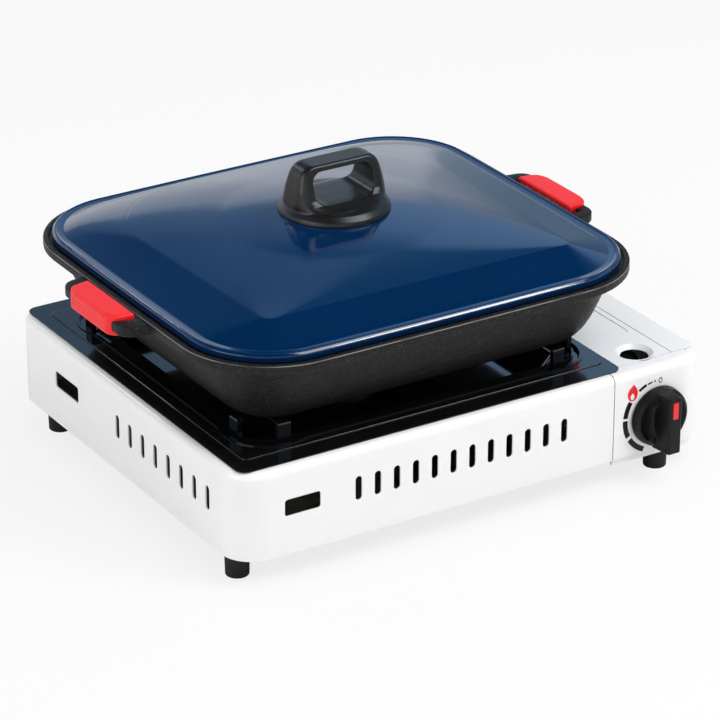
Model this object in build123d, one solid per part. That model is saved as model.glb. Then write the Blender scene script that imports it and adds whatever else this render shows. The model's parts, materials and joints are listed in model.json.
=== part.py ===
from build123d import *
import math
import os

# Butane cassette stove with a lidded pan.
# X runs to the control side, Y to the back, Z up from the table.
# Pieces are modelled about the middle of the stove body; at export they are
# moved so that the origin lies under the middle of the whole object.

# ---------------------------------------------------------------- body
body_width = 386.0
body_depth = 324.0
foot_height = 20.0
body_height = 65.0
corner_radius = 24.0
edge_radius = 6.0
shell_wall = 1.0
panel_wall = 2.0
seam_gap = 0.8
flange_width = 19.0         # top flange that carries the drip tray

z_base = foot_height
z_top = foot_height + body_height
half_w = body_width / 2
half_d = body_depth / 2
seam_x = half_w - 82.2      # where the sheet shell meets the moulded control end

# ventilation and hand openings of the shell
slot_width = 5.3
slot_height = 17.8
slot_centre_z = 55.0
front_slot_count = 12
front_slot_first_x = -99.2
front_slot_pitch = 15.25
side_slot_count = 8
side_slot_first_y = 6.0
side_slot_pitch = 18.1
window_width = 28.0
window_height = 12.4
window_radius = 2.2
window_z = 55.0
front_window_x = -half_w + 49.9
side_window_y = 81.5
side_window_width = 34.5

# ---------------------------------------------------------------- control end
panel_depth = 13.5          # depth of the moulded strip along the front top edge
panel_lip_drop = 4.5
panel_lip_setback = 1.5
panel_lip_height = 8.0
band_depth = 0.6
band_width = 1.3
band_inset = 7.4
deck_sheet = 1.0
deck_left_x = seam_x + 6.2
cover_seam_x = half_w - 23.6
cover_gap = 0.8
shelf_reach = 4.5
shelf_thickness = 2.5
deck_stiffener_height = 3.5
deck_panel_depth = 0.5      # pressed panel in the deck plate
deck_panel_inset_x = 4.6
deck_panel_front_y = -half_d + 56.0
deck_panel_back_y = half_d - 56.0
deck_panel_radius = 6.0
finger_hole_x = half_w - 46.0
finger_hole_y = -half_d + 28.0
finger_hole_radius = 10.2
finger_dish_radius = 13.6
finger_dish_depth = 3.0
finger_dish_clearance = 1.5

# cartridge cover hinge along its lower edge
hinge_inset = 3.5
hinge_height = 4.0          # hinge axis above the bottom of the shell
hinge_barrel_radius = 2.5
hinge_pin_radius = 1.25
hinge_pin_length = 12.0
cover_straight_half = half_d - corner_radius - 0.6
cover_notch_height = 10.0
hinge_boss_length = 7.5
hinge_boss_height = 8.3
hinge_boss_width = 8.0
hinge_boss_gap = 0.6

# ---------------------------------------------------------------- base and feet
base_sheet = 1.0
base_clearance = 0.2        # between the base plate's edge and the walls around it
trough_x0 = seam_x + 9.2
trough_x1 = half_w - 8.0
trough_y0 = -half_d + 70.0
trough_y1 = trough_y0 + 211.0
trough_drop = 7.5
cover_clearance_x = 8.2     # the base plate stops this far inside the cover
tab_size = 12.0
tab_xs = (-half_w + 63.0, -30.0, seam_x - 30.8)
tab_ys = (-70.0, 70.0)
boss_radius = 4.0
boss_height = 26.0
panel_boss_xs = (seam_x + 15.2, half_w - 16.0)
panel_boss_inset = 13.0
fit_clearance = 0.05         # between a pin, screw or rivet and its hole
screw_radius = 1.5
screw_head_radius = 2.9
screw_head_height = 1.8
screw_head_fillet = 0.8
screw_bite = 8.0
foot_top_radius = 8.8
foot_bottom_radius = 8.3
foot_recess_radius = 4.6
foot_recess_depth = 6.0
foot_screw_radius = 1.85
foot_screw_head_radius = 3.6
foot_screw_head_height = 2.4
nut_across_flats = 7.0
nut_height = 3.0
foot_places = {
    "front_left": (-half_w + 14.0, -half_d + 27.0),
    "rear_left": (-half_w + 16.0, half_d - 36.0),
    "front_right": (half_w - 36.0, -half_d + 13.0),
    "rear_right": (half_w - 36.0, half_d - 13.0),
}

# ---------------------------------------------------------------- drip tray
tray_sheet = 0.8
tray_left = -half_w + 6.0
tray_right = seam_x + 11.2
tray_half_depth = half_d - 6.5
tray_corner_radius = 8.0
tray_step_height = 0.7
tray_step_left = tray_left + 11.3
tray_step_right = tray_right - 5.0
tray_step_half_depth = half_d - 22.0
tray_step_radius = 5.0
well_centre_x = (tray_left + tray_right) / 2 + 6.5
well_width = tray_right - tray_left - 33.0
well_depth = body_depth - 63.0
well_corner_radius = 28.0
support_circle_inset = 28.0
support_circle_radius = 31.0
bead_width = 2.2
bead_height = 0.8
ledge_drop = 2.6
ledge_width = 14.0
ledge_corner_radius = 20.0
floor_z = 65.0
floor_inset = 12.0          # run of the sloping wall between ledge and floor
burner_opening_radius = 58.0
opening_collar_height = 5.0

# pan supports
support_radius = 26.0
support_sheet = 1.3
support_flange_inner = 20.0
support_flange_outer = 29.6
support_arc_angle = 104.0
support_wall_height = 3.6
prong_angle = 42.0
prong_width = 9.6
prong_pad_length = 20.0
prong_rib_depth = 3.2
pan_seat_z = 100.0
rivet_radius = 1.6
rivet_head_radius = 2.8
rivet_head_height = 1.1
rivet_head_fillet = 0.7
rivet_circle = 22.4
rivet_angle = 16.0

# ---------------------------------------------------------------- burner
burner_x = well_centre_x
burner_y = 0.0
bracket_span = 130.0
bracket_strip = 34.0
bracket_sheet = 1.5
bracket_height = 20.0
bracket_foot = 16.0
bracket_rivet_half_y = 10.0
burner_screw_half_x = 20.0
burner_floor = 5.0
burner_screw_bite = 4.0
burner_body_radius = 33.0
burner_body_height = 20.0
burner_wall = 3.0
burner_head_radius = 42.0
burner_head_height = 11.0
port_count = 36
port_width = 1.8
port_height = 5.0
port_depth = 9.0
burner_cap_radius = 27.0
burner_cap_height = 5.0
burner_cap_fillet = 2.0
tube_radius = 9.0
tube_wall = 1.2
tube_z = 50.0
tube_y = -half_d + 50.0
tube_bend_radius = 38.0
tube_end_x = seam_x + 10.2

# ---------------------------------------------------------------- gas side
shield_x = seam_x + 6.2
shield_sheet = 0.8
shield_flange = 8.0
shield_rivet_ys = (-half_d + 62.0, 20.0, half_d - 52.0)
cartridge_x = half_w - 40.0
cartridge_z = 49.5
cartridge_radius = 32.6
cartridge_length = 185.0
cartridge_front_y = -half_d + 72.5
cartridge_rim_radius = 33.0
cartridge_rim_width = 2.4
cartridge_dome_height = 7.0
collar_radius = 15.6
collar_length = 6.0
stem_radius = 2.2
stem_length = 5.0
cartridge_travel = 12.0
cradle_clearance = 0.3
cradle_width = 42.0
cradle_length = 14.0
cradle_height = 12.0
cradle_screw_half_x = 17.0
cradle_screw_bite = 5.0
cradle_ys = {"front": cartridge_front_y + 31.5, "rear": cartridge_front_y + 161.5}
knob_x = half_w - 45.5
knob_z = 47.5
regulator_width = 36.0
regulator_height = 34.0
regulator_front_y = -half_d + 26.0
regulator_back_y = regulator_front_y + 30.0
regulator_fillet = 4.0
neck_radius = 8.0
neck_length = 9.0
valve_foot_half_x = 10.0
valve_screw_half_x = 5.5
diaphragm_radius = 14.0
diaphragm_thickness = 5.0
diaphragm_screw_circle = 10.8
diaphragm_screw_count = 4
seat_radius = 20.0
seat_bore_radius = 16.4
seat_depth = 9.0
seat_floor = 2.5
stem_clearance = 0.3
magnet_radius = 24.0
magnet_inner_radius = 20.0
magnet_thickness = 4.0
nozzle_radius = 3.2
nozzle_flange_radius = 5.0
nozzle_flange_length = 4.0
nozzle_tip_x = seam_x + 1.2
igniter_size = (12.0, 24.0, 12.0)
lead_radius = 1.2
electrode_angle = -60.0
electrode_circle = 49.0
electrode_radius = 3.0
electrode_z0 = 46.0
electrode_z1 = 70.0
electrode_wire_radius = 0.8
electrode_wire_rise = 6.0
electrode_bracket_sheet = 1.2
electrode_bracket_width = 10.0
electrode_bracket_z = 52.0

# ---------------------------------------------------------------- knob
knob_gap = 1.0
knob_radius = 22.5
knob_disc_depth = 7.0
knob_face_radius = 19.6
knob_face_depth = 2.0
knob_bar_width = 10.0
knob_bar_length = 40.5
knob_bar_depth = 13.0
knob_fillet = 1.4
knob_scoop_radius = 15.6
knob_scoop_depth = 3.0
knob_hub_depth = 12.0
indicator_width = 5.2
indicator_length = 13.6
indicator_depth = 1.0
indicator_top = 18.4
shaft_radius = 3.0
shaft_seat_depth = 16.0
panel_shaft_hole_radius = 5.0

# ---------------------------------------------------------------- pan
pan_x = well_centre_x + 4.0
pan_y = -4.0
lid_width = 334.6
lid_depth = 304.6
lid_corner_radius = 60.0
rim_overhang = 6.6
rim_top_z = 158.2
rim_band = 6.8
rim_fillet = 1.4
lid_ledge_depth = 2.0
lid_clearance = 2.6
ledge_seat_width = 6.0
pan_wall = 3.6
pan_floor = 5.0
pan_draft = 22.8
pan_foot_inset = 26.6
pan_base_radius = 18.0
handle_half_length = 48.0
handle_reach = 20.5
handle_bar = 9.0
handle_bar_height = 8.0
handle_root = 14.0          # the loop's root inside the rim's edge
handle_z = 152.6
handle_corner_radius = 16.0
handle_inner_radius = 6.0
handle_fillet = 1.5
grip_half_length = 33.5
grip_gap = 4.0
grip_outer = 4.2            # rubber outside the bar
grip_height = 15.0
grip_corner_radius = 11.0
grip_fillet = 3.0

# ---------------------------------------------------------------- lid
lid_sheet = 1.2
lid_rim_height = 7.2
lid_rim_width = 4.2
lid_rim_fillet = 1.8
# rise above the rim plane and inset from the rim, from the rim inwards
lid_profile = ((0.0, 4.2), (1.8, 7.5), (12.3, 40.0), (17.6, 68.0), (21.6, 93.0), (24.0, 111.0))
lid_least_radius = 12.0
lid_handle_radius = 40.0
lid_handle_base = 3.5
lid_handle_shoulder_radius = 35.0
lid_handle_shoulder_height = 10.0
lid_handle_height = 36.5
# height, half width and half depth of the loop, from its root to its top
lid_handle_sections = ((7.0, 35.5, 30.0), (15.0, 33.5, 17.5), (25.0, 31.8, 11.5), (34.5, 30.5, 9.5))
lid_handle_top_inset = 2.5
lid_handle_hole_width = 46.0
lid_handle_hole_bottom = 12.0
lid_handle_hole_top = 29.5
lid_handle_hole_radius = 6.5
lid_handle_scoop = (25.0, 14.0, 10.0)
lid_handle_scoop_y = 27.0
lid_handle_scoop_z = 17.5
lid_screw_radius = 2.0
lid_screw_length = 9.0
lid_screw_head_radius = 4.2
lid_screw_head_height = 2.6
lid_washer_radius = 9.0
lid_washer_thickness = 1.2


# ================================================================ helpers
def block(x0, x1, y0, y1, z0, z1):
    """Box between two corners."""
    return Pos((x0 + x1) / 2, (y0 + y1) / 2, (z0 + z1) / 2) * Box(x1 - x0, y1 - y0, z1 - z0)


def rod_x(x0, x1, y, z, radius):
    return Pos((x0 + x1) / 2, y, z) * Rot(0, 90, 0) * Cylinder(radius, x1 - x0)


def rod_y(x, y0, y1, z, radius):
    return Pos(x, (y0 + y1) / 2, z) * Rot(90, 0, 0) * Cylinder(radius, y1 - y0)


def rod_z(x, y, z0, z1, radius):
    return Pos(x, y, (z0 + z1) / 2) * Cylinder(radius, z1 - z0)


def rounded_slab(x, y, width, depth, radius, z0, z1, taper=0):
    """Upright prism on a rounded rectangle; a negative taper widens it upwards."""
    return extrude(Pos(x, y, z0) * RectangleRounded(width, depth, radius), z1 - z0, taper=taper)


def edges_at_z(shape, z, tolerance=0.01):
    """Edges that lie in the level plane at z."""
    return shape.edges().filter_by_position(Axis.Z, z - tolerance, z + tolerance)


def body_form(inset, drop=0.0):
    """The stove's rounded outer block, inset on all sides but the bottom."""
    form = rounded_slab(0, 0, body_width - 2 * inset, body_depth - 2 * inset,
                        corner_radius - inset, z_base - drop, z_top - inset)
    return fillet(edges_at_z(form, z_top - inset), edge_radius - inset)


def body_skin(wall):
    """Open-bottomed skin of the stove body."""
    return body_form(0) - body_form(wall, drop=1.0)


# ================================================================ shell
def slot_cutter(length_axis_width, height, depth_box):
    """Upright slot with round ends, cut along Y through depth_box."""
    profile = SlotOverall(height, length_axis_width, rotation=90)
    return Rot(90, 0, 0) * extrude(profile, depth_box / 2, both=True)


def window_cutter(width):
    profile = RectangleRounded(width, window_height, window_radius)
    return Rot(90, 0, 0) * extrude(profile, shell_wall * 4, both=True)


def shell_openings():
    """Vents and hand windows of the front and left walls."""
    slot = slot_cutter(slot_width, slot_height, shell_wall * 8)
    cutters = []
    for i in range(front_slot_count):
        x = front_slot_first_x + i * front_slot_pitch
        cutters.append(Pos(x, -half_d, slot_centre_z) * slot)
        cutters.append(Pos(x, half_d, slot_centre_z) * slot)
    for i in range(side_slot_count):
        y = side_slot_first_y - i * side_slot_pitch
        cutters.append(Pos(-half_w, y, slot_centre_z) * Rot(0, 0, 90) * slot)
    cutters.append(Pos(front_window_x, -half_d, window_z) * window_cutter(window_width))
    cutters.append(Pos(-half_w, side_window_y, window_z) * Rot(0, 0, 90) * window_cutter(side_window_width))
    return cutters


def tab_places():
    """Middle of each inward tab of the shell and the wall it grows from."""
    places = [(x, side * (half_d - shell_wall - tab_size / 2)) for x in tab_xs for side in (-1, 1)]
    places += [(-half_w + shell_wall + tab_size / 2, y) for y in tab_ys]
    return places


def make_main_shell():
    """Sheet shell: front, left and back walls with a top flange."""
    end_x = seam_x - seam_gap / 2
    shell = body_skin(shell_wall) & block(-half_w - 1, end_x, -half_d - 1, half_d + 1, z_base - 1, z_top + 1)
    shell -= block(-half_w + flange_width, end_x + 1, -half_d + flange_width, half_d - flange_width,
                   z_top - edge_radius, z_top + 1)
    for cutter in shell_openings():
        shell -= cutter
    for x, y in tab_places():
        reach = shell_wall / 2
        if abs(x) > half_w - flange_width:
            tab = block(x - tab_size / 2 - reach, x + tab_size / 2, y - tab_size / 2, y + tab_size / 2,
                        z_base + base_sheet, z_base + base_sheet + shell_wall)
        else:
            outward = math.copysign(reach, y)
            y0, y1 = sorted((y - math.copysign(tab_size / 2, y), y + math.copysign(tab_size / 2, y) + outward))
            tab = block(x - tab_size / 2, x + tab_size / 2, y0, y1,
                        z_base + base_sheet, z_base + base_sheet + shell_wall)
        shell += tab
        shell -= rod_z(x, y, z_base, z_base + tab_size, screw_radius + fit_clearance)
    return shell


# ================================================================ control end
hinge_x = half_w - hinge_inset
hinge_z = z_base + hinge_height
panel_end_y = half_d - panel_depth
cover_half = panel_end_y - cover_gap / 2
panel_start_x = seam_x + seam_gap / 2


def hinge_boss(side):
    """Block with the pin bore, cut to stay inside the panel's outer face."""
    y0 = cover_straight_half + hinge_boss_gap
    y0, y1 = sorted((side * y0, side * (y0 + hinge_boss_length)))
    boss = block(hinge_x - hinge_boss_width / 2, half_w, y0, y1, z_base, z_base + hinge_boss_height)
    return boss & body_form(0)


def end_panel(side):
    """Moulded end of the control side; side is -1 for the front and 1 for the back."""
    skin = body_skin(panel_wall)
    outer_y = side * (half_d + 1)
    strip = block(panel_start_x, half_w + 1, *sorted((outer_y, side * (panel_end_y + cover_gap / 2))),
                  z_base - 1, z_top + 1)
    notch_y = side * (cover_straight_half + hinge_boss_gap)
    low_corner = block(hinge_x - hinge_boss_width / 2, half_w + 1, *sorted((outer_y, notch_y)),
                       z_base - 1, z_base + hinge_boss_height)
    panel = skin & (strip + low_corner)
    panel += hinge_boss(side)
    # shelf that carries the end of the deck plate
    shelf_y = sorted((side * (panel_end_y + panel_wall), side * (panel_end_y - shelf_reach)))
    panel += block(deck_left_x + 3, cover_seam_x - 3, *shelf_y, z_top - deck_sheet - shelf_thickness,
                   z_top - deck_sheet)
    # lower lip, set back from the face
    lip_face = half_d - panel_lip_setback
    lip = rounded_slab(0, 0, body_width - 2 * panel_lip_setback, 2 * lip_face, corner_radius - panel_lip_setback,
                       z_base - panel_lip_drop, z_base + panel_lip_height)
    lip -= rounded_slab(0, 0, body_width - 2 * panel_lip_setback - 2 * panel_wall, 2 * (lip_face - panel_wall),
                        corner_radius - panel_lip_setback - panel_wall,
                        z_base - panel_lip_drop - 1, z_base + panel_lip_height + 1)
    lip &= block(panel_start_x, half_w, *sorted((outer_y, side * (half_d - corner_radius * 0.6))),
                 z_base - panel_lip_drop, z_base + panel_lip_height)
    panel += lip
    for x in panel_boss_xs:
        y = side * (half_d - panel_boss_inset)
        post = rod_z(x, y, z_base + base_sheet, z_base + base_sheet + boss_height, boss_radius)
        web = block(x - 1, x + 1, *sorted((y, side * (half_d - panel_wall / 2))),
                    z_base + base_sheet, z_base + base_sheet + boss_height)
        panel += post + (web & body_form(panel_wall / 2))
        panel -= rod_z(x, y, z_base, z_base + base_sheet + screw_bite + 1, screw_radius + fit_clearance)
    bore_end = cover_straight_half + hinge_pin_length / 2 + fit_clearance
    panel -= rod_y(hinge_x, *sorted((side * cover_straight_half, side * bore_end)), hinge_z,
                   hinge_pin_radius + fit_clearance)
    return panel


def make_control_panel():
    """Front moulding with the knob's hole and a fine step along its top."""
    panel = end_panel(-1)
    panel -= rod_y(knob_x, -half_d - 1, -half_d + panel_wall + 1, knob_z, panel_shaft_hole_radius)
    panel -= rod_z(finger_hole_x, finger_hole_y, z_top - finger_dish_depth - shelf_thickness, z_top,
                   finger_dish_radius + deck_sheet + finger_dish_clearance)
    groove = rounded_slab(0, 0, body_width - 2 * band_inset, body_depth - 2 * band_inset,
                          corner_radius - band_inset, z_top - band_depth, z_top + 1)
    inner = band_inset + band_width
    groove -= rounded_slab(0, 0, body_width - 2 * inner, body_depth - 2 * inner, corner_radius - inner,
                           z_top - 2 * band_depth, z_top + 2)
    return panel - (groove & block(0, half_w, -half_d, -panel_end_y, z_top - band_depth, z_top + 1))


def make_rear_panel():
    return end_panel(1)


def make_deck_plate():
    """Sheet deck between tray and cover, with a dished finger hole and a pressed panel."""
    right_x = cover_seam_x - cover_gap
    end_y = panel_end_y - cover_gap / 2
    deck = block(deck_left_x, right_x, -end_y, end_y, z_top - deck_sheet, z_top)
    deck += block(right_x - deck_sheet, right_x, -end_y + shelf_reach + 1, end_y - shelf_reach - 1,
                  z_top - deck_sheet - deck_stiffener_height, z_top - deck_sheet / 2)
    panel = block(deck_left_x + deck_panel_inset_x, right_x - deck_panel_inset_x,
                  deck_panel_front_y, deck_panel_back_y, z_top - deck_panel_depth, z_top + 1)
    deck -= fillet(panel.edges().filter_by(Axis.Z), deck_panel_radius)
    # the dish is a cone of sheet pressed down around the hole
    slope = math.atan2(finger_dish_radius - finger_hole_radius, finger_dish_depth)
    side_offset = deck_sheet / math.cos(slope)
    top = Pos(finger_hole_x, finger_hole_y, z_top)
    outer = top * Pos(0, 0, -finger_dish_depth / 2) * Cone(
        finger_hole_radius + side_offset, finger_dish_radius + side_offset, finger_dish_depth)
    inner = top * Pos(0, 0, -finger_dish_depth / 2) * Cone(
        finger_hole_radius, finger_dish_radius, finger_dish_depth)
    return deck + outer - inner


def make_cartridge_cover():
    """Side wall and top strip in one, hung along its lower edge."""
    skin = body_skin(panel_wall)
    cover = skin & block(cover_seam_x, half_w + 1, -cover_half, cover_half, z_base + 1, z_top + 1)
    for side in (-1, 1):
        y0, y1 = sorted((side * cover_straight_half, side * (cover_half + 1)))
        cover -= block(cover_seam_x, half_w + 1, y0, y1, z_base, z_base + cover_notch_height)
    cover -= block(hinge_x - hinge_barrel_radius, half_w + 1, -cover_half, cover_half,
                   z_base, hinge_z - hinge_barrel_radius)
    cover += rod_y(hinge_x, -cover_straight_half, cover_straight_half, hinge_z, hinge_barrel_radius)
    for side in (-1, 1):
        y0, y1 = sorted((side * (cover_straight_half - hinge_pin_length / 2), side * (cover_straight_half + 1)))
        cover -= rod_y(hinge_x, y0, y1, hinge_z, hinge_pin_radius + fit_clearance)
    return cover


def make_cover_hinge_pins():
    pins = []
    for side in (-1, 1):
        y0, y1 = sorted((side * (cover_straight_half - hinge_pin_length / 2),
                         side * (cover_straight_half + hinge_pin_length / 2)))
        pins.append(rod_y(hinge_x, y0, y1, hinge_z, hinge_pin_radius))
    return Compound(pins)


# ================================================================ base
def panel_screw_places():
    """Screws up into the posts of both panels and into the foot of the valve block."""
    places = [(x, side * (half_d - panel_boss_inset)) for x in panel_boss_xs for side in (-1, 1)]
    valve_y = (regulator_front_y + regulator_back_y) / 2
    return places + [(knob_x + side * valve_screw_half_x, valve_y) for side in (-1, 1)]


def bracket_rivet_places():
    foot_x = (bracket_span + bracket_foot) / 2
    return [(burner_x + sx * foot_x, burner_y + sy * bracket_rivet_half_y) for sx in (-1, 1) for sy in (-1, 1)]


def shield_rivet_places():
    return [(shield_x - shield_flange / 2, y) for y in shield_rivet_ys]


def cradle_screw_places():
    return [(cartridge_x + side * cradle_screw_half_x, y) for y in cradle_ys.values() for side in (-1, 1)]


trough_floor_z = z_base - trough_drop


def make_base_plate():
    """Bottom sheet with a pressed trough under the gas cartridge."""
    z1 = z_base + base_sheet
    inset = shell_wall + base_clearance
    left = rounded_slab(0, 0, body_width - 2 * inset, body_depth - 2 * inset, corner_radius - inset, z_base, z1)
    inset = panel_lip_setback + panel_wall + base_clearance
    right = rounded_slab(0, 0, body_width - 2 * inset, body_depth - 2 * inset, corner_radius - inset, z_base, z1)
    plate = (left & block(-half_w, seam_x, -half_d, half_d, z_base, z1))
    plate += (right & block(seam_x, half_w - cover_clearance_x, -half_d, half_d, z_base, z1))
    trough = block(trough_x0, trough_x1, trough_y0, trough_y1, trough_floor_z, z1)
    cavity = block(trough_x0 + base_sheet, trough_x1 - base_sheet, trough_y0 + base_sheet,
                   trough_y1 - base_sheet, trough_floor_z + base_sheet, z1 + 1)
    plate = plate + trough - cavity
    holes = tab_places() + panel_screw_places() + bracket_rivet_places() + shield_rivet_places()
    for x, y in holes + cradle_screw_places():
        plate -= rod_z(x, y, trough_floor_z - 1, z1 + 1, screw_radius + fit_clearance)
    for x, y in foot_places.values():
        plate -= rod_z(x, y, z_base - 1, z1 + 1, foot_screw_radius + fit_clearance)
    return plate


def upward_screws(places, z_seat, length):
    """Pan-head screws driven up from z_seat."""
    screws = []
    for x, y in places:
        head = rod_z(x, y, z_seat - screw_head_height, z_seat, screw_head_radius)
        head = fillet(edges_at_z(head, z_seat - screw_head_height), screw_head_fillet)
        screws.append(rod_z(x, y, z_seat - screw_head_height / 2, z_seat + length, screw_radius) + head)
    return Compound(screws)


def upright_rivets(places, z0, z1):
    """Rivets that grip a stack of sheets from z0 to z1."""
    rivets = []
    for x, y in places:
        rivet = rod_z(x, y, z0 - rivet_head_height, z0, rivet_head_radius)
        rivet += rod_z(x, y, z1, z1 + rivet_head_height, rivet_head_radius)
        ends = edges_at_z(rivet, z0 - rivet_head_height) + edges_at_z(rivet, z1 + rivet_head_height)
        rivets.append(fillet(ends, rivet_head_fillet) + rod_z(x, y, z0 - fit_clearance, z1 + fit_clearance, screw_radius))
    return Compound(rivets)


def make_shell_screws():
    return upward_screws(tab_places(), z_base, base_sheet + shell_wall + 1)


def make_panel_screws():
    return upward_screws(panel_screw_places(), z_base, base_sheet + screw_bite)


def make_cradle_screws():
    return upward_screws(cradle_screw_places(), trough_floor_z, base_sheet + cradle_screw_bite)


def make_burner_screws():
    places = [(burner_x + side * burner_screw_half_x, burner_y) for side in (-1, 1)]
    return upward_screws(places, bracket_top_z - bracket_sheet, bracket_sheet + burner_screw_bite)


def make_bracket_rivets():
    return upright_rivets(bracket_rivet_places(), z_base, z_base + base_sheet + bracket_sheet)


def make_shield_rivets():
    return upright_rivets(shield_rivet_places(), z_base, z_base + base_sheet + shield_sheet)


def make_foot(x, y):
    """Tapered rubber foot with a recess for its screw."""
    foot = Pos(x, y, foot_height / 2) * Cone(foot_bottom_radius, foot_top_radius, foot_height)
    foot = fillet(edges_at_z(foot, 0), 1.0)
    foot -= rod_z(x, y, -1, foot_recess_depth, foot_recess_radius)
    return foot - rod_z(x, y, 0, foot_height + 1, foot_screw_radius + fit_clearance)


def make_foot_screws():
    screws = []
    for x, y in foot_places.values():
        head_z = foot_recess_depth
        head = rod_z(x, y, head_z - foot_screw_head_height, head_z, foot_screw_head_radius)
        head = fillet(edges_at_z(head, head_z - foot_screw_head_height), foot_screw_head_height * 0.4)
        shank = rod_z(x, y, head_z - 0.1, z_base + base_sheet + nut_height + 1.5, foot_screw_radius)
        screws.append(head + shank)
    return Compound(screws)


def make_foot_nuts():
    nuts = []
    for x, y in foot_places.values():
        z0 = z_base + base_sheet
        nut = extrude(Pos(x, y, z0) * RegularPolygon(nut_across_flats / 2, 6, major_radius=False), nut_height)
        nuts.append(nut - rod_z(x, y, z0 - 1, z0 + nut_height + 1, foot_screw_radius + fit_clearance))
    return Compound(nuts)


# ================================================================ drip tray
def support_centres():
    """Centre of each pan support's arc and the direction of its corner in degrees."""
    places = {}
    for row, sy in (("front", -1), ("rear", 1)):
        for column, sx in (("left", -1), ("right", 1)):
            x = well_centre_x + sx * (well_width / 2 - support_circle_inset)
            y = sy * (well_depth / 2 - support_circle_inset)
            places[f"{row}_{column}"] = (x, y, math.degrees(math.atan2(sy, sx)))
    return places


def well_outline(grow):
    """Rounded square that swells around each pan support, in the plane z = 0."""
    outline = Pos(well_centre_x, 0) * RectangleRounded(well_width + 2 * grow, well_depth + 2 * grow,
                                                       well_corner_radius + grow)
    for x, y, _ in support_centres().values():
        outline += Pos(x, y) * Circle(support_circle_radius + grow)
    return outline


def make_drip_tray():
    """Stamped tray: border, raised step, bead, ledge for the supports, sloping well."""
    border_z = z_top + tray_sheet
    ledge_z = border_z - ledge_drop
    width = tray_right - tray_left
    tray = rounded_slab((tray_left + tray_right) / 2, 0, width, 2 * tray_half_depth, tray_corner_radius,
                        z_top, border_z)
    step_width = tray_step_right - tray_step_left
    step_x = (tray_step_left + tray_step_right) / 2
    step = rounded_slab(step_x, 0, step_width, 2 * tray_step_half_depth, tray_step_radius,
                        border_z - 0.1, border_z + tray_step_height)
    tray += fillet(edges_at_z(step, border_z + tray_step_height), tray_step_height * 0.6)
    bead_z = border_z + tray_step_height
    bead = extrude(Pos(0, 0, bead_z - 0.1) * well_outline(bead_width), bead_height + 0.1)
    tray += bead
    # outer and inner form of the well
    ledge_inner = (well_width - 2 * ledge_width, well_depth - 2 * ledge_width)
    fall = math.degrees(math.atan2(floor_inset, ledge_z - floor_z))
    tray += extrude(Pos(0, 0, ledge_z - tray_sheet) * well_outline(tray_sheet), bead_z - ledge_z + tray_sheet)
    floor_size = (ledge_inner[0] - 2 * floor_inset, ledge_inner[1] - 2 * floor_inset)
    floor_radius = ledge_corner_radius - floor_inset
    tray += rounded_slab(well_centre_x, 0, floor_size[0] + 2 * tray_sheet, floor_size[1] + 2 * tray_sheet,
                         floor_radius + tray_sheet, floor_z - tray_sheet, ledge_z - tray_sheet, taper=-fall)
    tray -= extrude(Pos(0, 0, ledge_z) * well_outline(0), 10)
    tray -= rounded_slab(well_centre_x, 0, *floor_size, floor_radius, floor_z, ledge_z + 0.001, taper=-fall)
    collar_radius_outer = burner_opening_radius + tray_sheet
    tray += rod_z(burner_x, burner_y, floor_z - tray_sheet, floor_z + opening_collar_height, collar_radius_outer)
    tray -= rod_z(burner_x, burner_y, floor_z - 2, floor_z + opening_collar_height + 1, burner_opening_radius)
    for x, y, angle in support_centres().values():
        for turn in (-rivet_angle, rivet_angle):
            a = math.radians(angle + turn)
            tray -= rod_z(x + rivet_circle * math.cos(a), y + rivet_circle * math.sin(a),
                          ledge_z - 3, ledge_z + 1, rivet_radius + fit_clearance)
    return tray


support_base_z = z_top + tray_sheet - ledge_drop


def arc_band(inner, outer, angle, span, z0, z1):
    """Sector of a flat ring about the origin, centred on the direction angle."""
    ring = extrude(Pos(0, 0, z0) * (Circle(outer) - Circle(inner)), z1 - z0)
    reach = outer * 3
    a0 = math.radians(angle - span / 2)
    a1 = math.radians(angle + span / 2)
    mid = math.radians(angle)
    wedge = Polyline((0, 0), (reach * math.cos(a0), reach * math.sin(a0)),
                     (reach * math.cos(mid), reach * math.sin(mid)),
                     (reach * math.cos(a1), reach * math.sin(a1)), (0, 0))
    return ring & extrude(Pos(0, 0, z0 - 1) * make_face(wedge), z1 - z0 + 2)


def make_pan_support(x, y, angle):
    """Corner bracket: arc flange and wall with two bent-over prongs."""
    z0 = support_base_z
    z_flange = z0 + support_sheet
    bracket = arc_band(support_flange_inner, support_flange_outer, angle, support_arc_angle, z0, z_flange)
    bracket += arc_band(support_radius - support_sheet / 2, support_radius + support_sheet / 2, angle,
                        support_arc_angle, z0, z_flange + support_wall_height)
    for turn in (-prong_angle, prong_angle):
        upright = block(support_radius - support_sheet, support_radius + support_sheet / 2,
                        -prong_width / 2, prong_width / 2, z0, pan_seat_z)
        upright += block(support_radius - prong_pad_length, support_radius + support_sheet / 2,
                         -prong_width / 2, prong_width / 2, pan_seat_z - support_sheet, pan_seat_z)
        for side in (-1, 1):
            y_rib = side * (prong_width / 2 - support_sheet / 2)
            upright += block(support_radius - prong_rib_depth, support_radius,
                             y_rib - support_sheet / 2, y_rib + support_sheet / 2,
                             z_flange, pan_seat_z - support_sheet / 2)
        outer_top = upright.edges().filter_by(Axis.Y).sort_by(lambda e: e.center().X + e.center().Z)[-1]
        upright = fillet(outer_top, support_sheet * 0.9)
        bracket += Rot(0, 0, angle + turn) * upright
    for turn in (-rivet_angle, rivet_angle):
        a = math.radians(angle + turn)
        bracket -= rod_z(rivet_circle * math.cos(a), rivet_circle * math.sin(a), z0 - 1, z_flange + 1,
                         rivet_radius + fit_clearance)
    return Pos(x, y, 0) * bracket


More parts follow.
